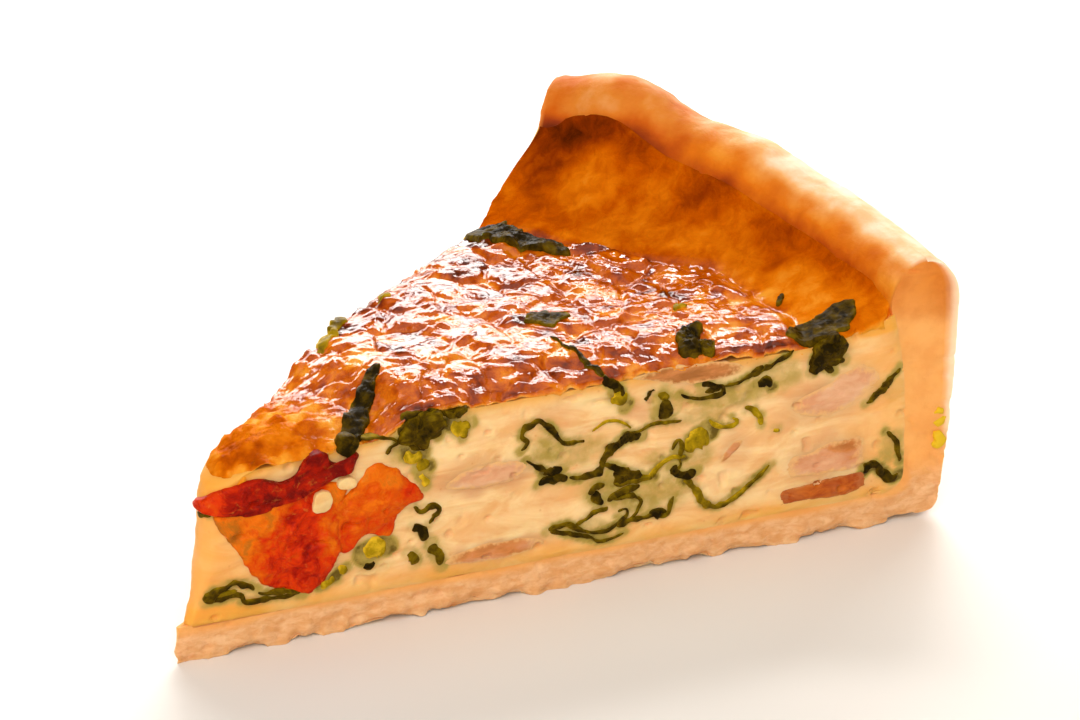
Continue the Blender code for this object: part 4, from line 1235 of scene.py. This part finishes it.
TOMATO_RIGHT = (
    (21.2, 17.8), (22.6, 18.6), (24.0, 19.8), (25.0, 21.2), (26.4, 21.9), (27.9, 21.4), (29.4, 20.4),
    (30.9, 18.8), (32.2, 16.4), (31.0, 15.9), (29.6, 15.2), (28.6, 13.8), (28.3, 12.2), (26.8, 11.9),
    (25.2, 12.6), (23.6, 12.0), (22.4, 11.0), (21.0, 11.6), (20.6, 13.6), (20.6, 15.8))
CUBE = ((17.9, 17.4), (18.2, 19.3), (19.2, 19.9), (20.2, 19.5), (20.5, 18.3), (20.1, 17.4), (19.0, 17.1))
CURD = ((21.2, 20.0), (21.6, 20.8), (22.6, 21.0), (23.4, 20.7), (23.5, 19.9), (22.4, 19.5))
TOMATO_TONES = (
    ((15.6, 10.6), 4.2, 0.30), ((13, 14), 2.6, 0.44), ((17, 14.6), 2.6, 0.34), ((9.2, 15), 2.6, 1.0),
    ((9.6, 17.4), 2.0, 0.74), ((12.6, 17.2), 1.6, 0.95), ((10.6, 10.6), 1.6, 0.62),
    ((16, 17.8), 2.4, 0.40), ((14.4, 7.4), 1.2, 0.6), ((26.4, 19.4), 3.0, 0.72), ((23.4, 16), 2.4, 0.58),
    ((30.6, 17.2), 1.6, 0.46), ((28.4, 17.6), 0.8, 0.4), ((21.4, 12.4), 1.4, 0.5), ((19.6, 15), 1.2, 0.8),
    ((20, 9.2), 1.4, 0.36), ((22.6, 19), 1.4, 0.84), ((26.4, 13), 1.8, 0.52), ((19.8, 12.4), 1.0, 0.9))
SKIN_TONES = (
    ((5.0, 20), 2.0, 0.40), ((8.0, 21.2), 2.4, 0.24), ((12, 20.6), 2.6, 0.13), ((9, 18.8), 1.6, 0.06),
    ((16, 21), 3.0, 0.14), ((19, 24), 1.6, 0.04), ((23.4, 22.6), 1.6, 0.03), ((20.5, 21.8), 2.0, 0.10),
    ((15.4, 19.4), 1.6, 0.04))


def toned(shape, tones, grain, seed):
    """Tone at each point: an average of the listed spots' tones, nearer ones counting more."""
    points, faces, marks = shape
    total = np.full(len(points), 1e-9)
    tone = np.zeros(len(points))
    for (along, up), reach, value in tones:
        gap = np.hypot(points[:, 0] - along, points[:, 2] - up) / reach
        weight = np.exp(-gap ** 2) + 1e-4 / (1.0 + gap ** 4)
        total += weight
        tone += weight * value
    tone = tone / total + grain * fractal(points, 1.6, 3, seed)
    return points, faces, {"tone": tone, "edge": marks["edge"]}


def build_tomato():
    """Two lobes of flesh under a strip of skin, with a pale cube and a curd of egg set in them."""
    left = patch_shape(front, TOMATO_LEFT, 7.0, 0.1, 1, rough=0.34, fray=0.3, crown=0.15)
    right = patch_shape(front, TOMATO_RIGHT, 6.0, 0.1, 2, rough=0.24, fray=0.3, crown=0.4)
    skin = patch_shape(front, TOMATO_SKIN, 6.0, 0.5, 3, rough=0.2, fray=0.2, crown=0.3)
    flesh = join([toned(left, TOMATO_TONES, 0.13, 1), toned(right, TOMATO_TONES, 0.07, 2)])
    finish = tomato_finish()
    add_piece("tomato_flesh", flesh, finish, ("tomato",))
    add_piece("tomato_skin", toned(skin, SKIN_TONES, 0.06, 3), finish)
    bits = []
    for seed, (outline, stand) in enumerate(((CUBE, 0.75), (CURD, 0.7))):
        points, faces, _ = patch_shape(front, outline, 2.0, stand, 5 + seed, 0.12, 0.16, 0.15)
        level = np.zeros(len(points))
        bits.append((points, faces, {"yellow": level + 0.1, "pink": level, "green": level}))
    add_piece("egg_bits", join(bits), custard_finish())


# Each piece of bacon: its cut, its outline, how red its meat is, and how much of it is rind.
BACON = (
    ("bacon_block", front, ((82.4, 10.6), (82.8, 9.6), (85, 9.2), (88, 9.0), (91.4, 9.0), (93.2, 9.2),
                            (93.4, 11.4), (93.2, 13.4), (90.6, 13.6), (88.2, 13.4), (85.4, 12.4),
                            (82.9, 12.0)), 0.35, 0.0),
    ("bacon_block_rind", front, ((81.3, 6.2), (81.6, 7.6), (84.2, 7.9), (87.4, 8.2), (90.4, 8.3),
                                 (93.2, 8.3), (93.6, 7.2), (93.2, 5.9), (90.6, 5.5), (87.2, 5.5),
                                 (84, 5.7), (81.8, 5.6)), 0.8, 1.0),
    ("bacon_wall", front, ((82.6, 19.0), (84.6, 17.8), (88.2, 17.2), (91.6, 18.4), (94.2, 20.2),
                           (95.4, 22.2), (93.0, 23.6), (89.8, 23.0), (86.6, 21.4), (83.6, 20.4)),
     0.28, 0.0),
    ("bacon_under_top", front, ((60.6, 27.2), (63.2, 26.4), (66.4, 25.5), (70.0, 25.2), (73.2, 25.1),
                                (75.4, 25.4), (75.8, 26.4), (73.4, 27.2), (69, 27.6), (64.4, 27.8)),
     0.9, 0.0),
    ("bacon_streak", front, ((35.2, 17.0), (38.4, 16.2), (41.4, 16.2), (44.6, 16.6), (46.2, 17.9),
                             (44.6, 18.9), (40.4, 19.2), (36.8, 18.4)), 0.30, 0.0),
    ("bacon_low", front, ((34.8, 6.6), (38.4, 5.9), (42.6, 5.9), (46.2, 6.2), (48.4, 7.0),
                          (46.6, 8.0), (42.8, 8.3), (38.2, 7.9)), 0.62, 0.0),
    ("bacon_sliver", front, ((72.9, 13.6), (73.8, 13.9), (74.8, 14.9), (75.7, 15.9), (75.2, 16.3),
                             (74.0, 15.6), (73.0, 14.6)), 0.55, 0.0),
    ("bacon_back_tip", back, ((25.4, 12.0), (28, 10.4), (32, 10.2), (35.8, 11.0), (36.6, 12.8),
                              (34, 14.4), (30, 14.6), (26.6, 13.8)), 0.4, 0.0),
    ("bacon_back_middle", back, ((57.9, 19.0), (60.4, 16.8), (64, 16.6), (67.6, 18.0), (68.1, 20.4),
                                 (65.6, 22.0), (61.6, 22.2), (58.8, 21.2)), 0.35, 0.0),
    ("bacon_back_low", back, ((77.4, 8.8), (80, 7.0), (84, 6.9), (88, 7.6), (89.6, 9.4),
                              (87.4, 11.2), (83.2, 11.5), (79.2, 10.8)), 0.5, 0.0),
)
RED_CORNER = (91.0, 12.6)


def build_bacon():
    """Lean pieces, each with its rind value; the block at the wall has a strip of rind below it."""
    finish = bacon_finish()
    for seed, (name, place, outline, red, rind) in enumerate(BACON):
        points, faces, marks = patch_shape(place, outline, 3.5, -0.03, seed + 20, 0.03, 0.22, 0.16)
        reds = red + 0.16 * fractal(points * (0.6, 0.6, 2.0), 2.4, 3, seed)
        corner = np.hypot((points[:, 0] - RED_CORNER[0]) / 2.6, points[:, 2] - RED_CORNER[1])
        marks["red"] = reds + 0.5 * np.exp(-corner ** 2) * (points[:, 1] < 4.0)
        marks["rind"] = np.clip(rind + 0.2 * fractal(points, 2.4, 3, seed + 4.0), 0.0, 1.0)
        replaced = () if name == "bacon_block_rind" else (name,)
        add_piece(name + "_meat", (points, faces, marks), finish, replaced)


def fitted(leaves, centre, half, mirror):
    """The same leaves, moved and scaled to fill a box given by its centre and half sizes."""
    paths = np.concatenate([leaf.path for leaf in leaves])
    low, high = paths.min(axis=0), paths.max(axis=0)
    scale = 2.0 * np.array(half) / (high - low) * (-1.0 if mirror else 1.0, 1.0)
    return [Leaf((leaf.path - (low + high) / 2) * scale + np.array(centre), leaf.widths, leaf.tone)
            for leaf in leaves]


BACK_LEAVES = (
    ("spinach_back_tip", "spinach_loop", (24.0, 18.8), (6.2, 2.4), False),
    ("spinach_back_fold", "spinach_fold", (48.0, 13.4), (8.4, 4.4), True),
    ("spinach_back_wall", "spinach_row", (84.0, 19.6), (7.6, 3.1), True),
)


# Crumpled leaves on the top: outline in plan, how far they stand up, roughness, crown and tone.
TOP_LEAVES = {
    "spinach_rear": (
        (((57.9, 50.0), (58.2, 47.0), (59.5, 43.6), (61.2, 41.0), (63.4, 39.2), (65.6, 37.8),
          (67.6, 36.6), (67.4, 39.2), (66.0, 42.0), (64.6, 44.6), (63.4, 47.4), (61.6, 50.0),
          (59.6, 51.6)), 0.35, 0.42, 0.25, 0.05),
        (((59.2, 50.6), (60.4, 48.6), (62.2, 47.2), (64.0, 45.8), (64.8, 47.4), (64.2, 49.6),
          (62.4, 51.2), (60.6, 51.6)), 0.4, 0.4, 0.2, 0.02),),
    "spinach_tuft": (
        (((67.4, 1.6), (67.8, 3.2), (68.8, 5.4), (70.2, 6.2), (71.0, 5.0), (71.4, 3.0), (70.6, 1.2),
          (69.0, 0.7)), 0.2, 0.55, 0.3, 0.06),
        (((68.8, 4.0), (69.6, 6.0), (71.2, 6.6), (72.4, 5.6), (71.6, 4.0), (70.2, 3.0)),
         0.2, 0.5, 0.3, 0.04),
        (((70.4, 2.2), (71.6, 2.8), (72.6, 2.4), (72.0, 1.2), (70.8, 1.0)), 0.4, 0.5, 0.3, 0.12)),
    "spinach_middle": (
        (((52.6, 16.4), (54.0, 18.0), (55.6, 18.8), (57.0, 17.6), (59.0, 16.6), (57.2, 15.4),
          (55.4, 14.2), (54.0, 15.2)), 0.16, 0.2, 0.1, 0.16),),
    "spinach_strip": (
        (((22.0, 0.2), (24.2, 0.0), (25.6, 1.6), (26.9, 3.6), (28.6, 6.2), (30.0, 8.8), (30.9, 11.0),
          (29.4, 10.8), (27.4, 8.6), (25.4, 6.2), (23.7, 4.0), (22.6, 2.0)), 0.2, 0.25, 0.1, 0.03),),
}
HANGING_LEAF = ((21.4, 24.9), (21.8, 25.9), (22.8, 26.2), (23.9, 25.8), (23.9, 25.0),
                (23.5, 24.2), (23.0, 23.2), (22.4, 23.8), (21.7, 24.3))
STEP_MASS = (
    (((29.2, 24.3), (29.8, 25.8), (30.8, 27.2), (32.6, 27.8), (34.6, 27.4), (35.4, 26.2),
      (34.8, 24.8), (33.6, 23.8), (32.4, 23.2), (31.0, 23.8)), 0.35, 0.4, 0.35, 0.14),
    (((35.0, 27.6), (36.4, 27.2), (37.8, 27.6), (37.6, 26.6), (36.0, 26.2), (35.0, 26.6)),
     0.3, 0.3, 0.2, 0.2))
CORNER_MASS = (
    (((85.0, 24.0), (84.9, 25.6), (85.2, 27.2), (86.4, 28.2), (88.6, 28.4), (90.2, 28.0), (89.8, 26.4),
      (89.2, 24.8), (87.8, 24.2), (86.4, 23.6)), 0.3, 0.4, 0.3, 0.08),)
CORNER_TOP = (
    (((82.2, 1.6), (83.5, 0.3), (86.0, 0.2), (90.0, 0.2), (91.8, 1.6), (93.6, 4.2), (91.6, 5.6),
      (88.8, 4.7), (86.4, 4.5), (83.3, 3.0)), 0.12, 0.22, 0.06, 0.10),
    (((85.4, 10.6), (86.0, 11.8), (87.0, 12.2), (87.2, 11.2), (86.4, 10.4)), 0.2, 0.3, 0.2, 0.05),
)
TOP_BITS = (
    Leaf([(54.1, 11.2), (54.5, 8.4), (55.2, 4.6), (56.4, 0.4)], (0.25, 0.45, 0.9), 0.1),
    Leaf([(26.6, 20.8), (28.6, 23.8), (30.6, 26.0)], (1.0, 1.8, 0.7), 0.62),
    Leaf([(29.8, 25.8), (31.4, 27.4), (32.8, 28.8)], (0.8, 1.4, 0.6), 0.45),
    Leaf([(72.4, 13.6), (73.4, 14.4), (74.4, 14.2)], (0.5, 0.8, 0.4), 0.55),
    Leaf([(38.4, 31.2), (39.6, 32.6), (40.8, 33.4)], (0.6, 1.1, 0.5), 0.5),
    Leaf([(58.2, 51.0), (58.8, 49.6), (58.4, 48.2)], (0.6, 1.2, 0.6), 0.66),
)


def flat_leaf(place, depth, outline, stand, rough, crown, tone, seed):
    """A crumpled leaf lying on the browned top or seen flat in a cut."""
    fray = 0.3 + 0.7 * rough
    points, faces, marks = patch_shape(place, outline, depth, stand, seed, rough, fray, crown)
    marks["tone"] = tone + 0.14 * fractal(points, 1.5, 3, seed) + 0.2 * marks.pop("edge") ** 4
    marks["wet"] = np.full(len(points), 0.02 if place is on_top else 0.0)
    return points, faces, marks


def build_leaves():
    """Leaves of each bundle in the cuts, those lying on the top, and the loose bits."""
    finish = leaf_finish()
    for name, leaves in FRONT_LEAVES.items():
        parts = [leaf_shape(leaf, front, seed) for seed, leaf in enumerate(leaves)]
        if name == "spinach_corner":
            parts += [flat_leaf(on_top, 0.9, *leaf, 90 + seed) for seed, leaf in enumerate(CORNER_TOP)]
            parts += [flat_leaf(front, 1.6, *leaf, 95) for leaf in CORNER_MASS]
        if name == "spinach_step":
            parts += [flat_leaf(front, 1.6, *leaf, 97 + seed) for seed, leaf in enumerate(STEP_MASS)]
        add_piece(name + "_leaves", join(parts), finish, (name,))
    for name, source, centre, half, mirror in BACK_LEAVES:
        leaves = fitted(FRONT_LEAVES[source], centre, half, mirror)
        parts = [leaf_shape(leaf, back, 60 + seed) for seed, leaf in enumerate(leaves)]
        add_piece(name + "_leaves", join(parts), finish, (name,))
    for name, leaves in TOP_LEAVES.items():
        parts = [flat_leaf(on_top, 0.9, *leaf, 70 + seed) for seed, leaf in enumerate(leaves)]
        if name == "spinach_strip":
            parts.append(flat_leaf(front, 1.6, HANGING_LEAF, 0.4, 0.15, 0.1, 0.05, 77))
        add_piece(name + "_leaves", join(parts), finish, (name,))
    bits = [leaf_shape(leaf, front, 140 + seed) for seed, leaf in enumerate(FRONT_BITS)]
    bits += [leaf_shape(leaf, on_top, 160 + seed, 1.2, 0.4) for seed, leaf in enumerate(TOP_BITS)]
    add_piece("herb_bits", join(bits), finish)


# ---------------------------------------------------------------- everything put together
def build_slice():
    """Pastry, custard, browned top and what is baked into them."""
    add_piece("pastry", pastry_shape(), pastry_finish(), ("crust",), sharp=60.0)
    add_piece("custard_filling", custard_shape(), custard_finish(), ("custard",), sharp=50.0)
    add_piece("browned_top", skin_shape(), skin_finish())
    build_tomato()
    build_bacon()
    build_leaves()


CAMERA_AZIMUTH = -23.0
CAMERA_HEIGHT_ANGLE = 23.7
CAMERA_DISTANCE = 426.2
CAMERA_TARGET = np.array([59.0, 26.3, 19.4])
CAMERA_LENS = 108.0


def direction(azimuth, elevation):
    """Unit vector at an angle round the slice, 0 being the front, and an angle above the floor."""
    turn, lift = math.radians(azimuth), math.radians(elevation)
    return np.array([
        math.sin(turn) * math.cos(lift), -math.cos(turn) * math.cos(lift), math.sin(lift)])


def aim(item, place, target):
    """Put a camera or light at a place, facing a target, both in the frame in metres."""
    item.location = Vector(place)
    item.rotation_euler = Vector(target - place).to_track_quat("-Z", "Y").to_euler()


def soft_light(name, azimuth, elevation, distance, size, power, tint):
    """A wide lamp aimed at the slice from that direction, all lengths in metres."""
    lamp = bpy.data.lights.new(name, "AREA")
    lamp.shape = "RECTANGLE"
    lamp.size, lamp.size_y = size
    lamp.energy = power
    lamp.color = tint
    item = bpy.data.objects.new(name, lamp)
    bpy.context.scene.collection.objects.link(item)
    middle = (CAMERA_TARGET + APEX) * MM
    aim(item, middle + distance * direction(azimuth, elevation), middle)
    item.visible_camera = False
    return item


# Brightness of the surroundings at the sine of the angle above the horizon.
ROOM_LIGHT = ((0.0, 0.6), (0.22, 0.35), (0.34, 0.10), (0.74, 0.14), (0.92, 1.05))


def build_surroundings():
    """A room's light: pale near the horizon, dim above that, and soft white overhead."""
    world = bpy.data.worlds.new("surroundings")
    world.use_nodes = True
    nodes, links = world.node_tree.nodes, world.node_tree.links
    place = nodes.new("ShaderNodeTexCoord")
    parts = nodes.new("ShaderNodeSeparateXYZ")
    fade = nodes.new("ShaderNodeValToRGB")
    elements = fade.color_ramp.elements
    fade.color_ramp.interpolation = "EASE"
    while len(elements) < len(ROOM_LIGHT):
        elements.new(0.5)
    for element, (position, value) in zip(elements, ROOM_LIGHT):
        element.position = position
        element.color = (value, value, value, 1.0)
    links.new(place.outputs["Generated"], parts.inputs["Vector"])
    links.new(parts.outputs["Z"], fade.inputs["Fac"])
    links.new(fade.outputs["Color"], nodes["Background"].inputs["Strength"])
    nodes["Background"].inputs["Color"].default_value = (1.0, 0.985, 0.96, 1.0)
    bpy.context.scene.world = world


def build_studio():
    """Pale floor, white surroundings, a big lamp behind the slice and a softer one in front."""
    bpy.ops.mesh.primitive_plane_add(size=6.0, location=(0.0, 0.0, 0.0))
    floor = bpy.context.object
    floor.name = "floor"
    look = Finish("floor", Specular_IOR_Level=0.3)
    shade = look.mix(look.noise(60.0, 2.0), colour(228, 222, 214), colour(236, 231, 224))
    look.feed("Base Color", shade)
    look.shader.inputs["Roughness"].default_value = 0.6
    floor.data.materials.append(look.material)
    build_surroundings()
    soft_light("window", 157.0, 20.0, 0.9, (1.2, 0.34), 12.0, (1.0, 0.97, 0.94))
    soft_light("skylight", 150.0, 40.0, 0.9, (0.3, 0.12), 2.6, (1.0, 0.98, 0.96))
    soft_light("fill", -30.0, 38.0, 0.9, (0.8, 0.6), 6.4, (1.0, 0.96, 0.9))
    camera = bpy.data.cameras.new("camera")
    camera.lens = CAMERA_LENS
    camera.sensor_width = 36.0
    item = bpy.data.objects.new("camera", camera)
    bpy.context.scene.collection.objects.link(item)
    middle = (CAMERA_TARGET + APEX) * MM
    back_from = direction(CAMERA_AZIMUTH, CAMERA_HEIGHT_ANGLE)
    aim(item, middle + CAMERA_DISTANCE * MM * back_from, middle)
    bpy.context.scene.camera = item
    bpy.context.scene.view_settings.view_transform = "Standard"


build_slice()
build_studio()
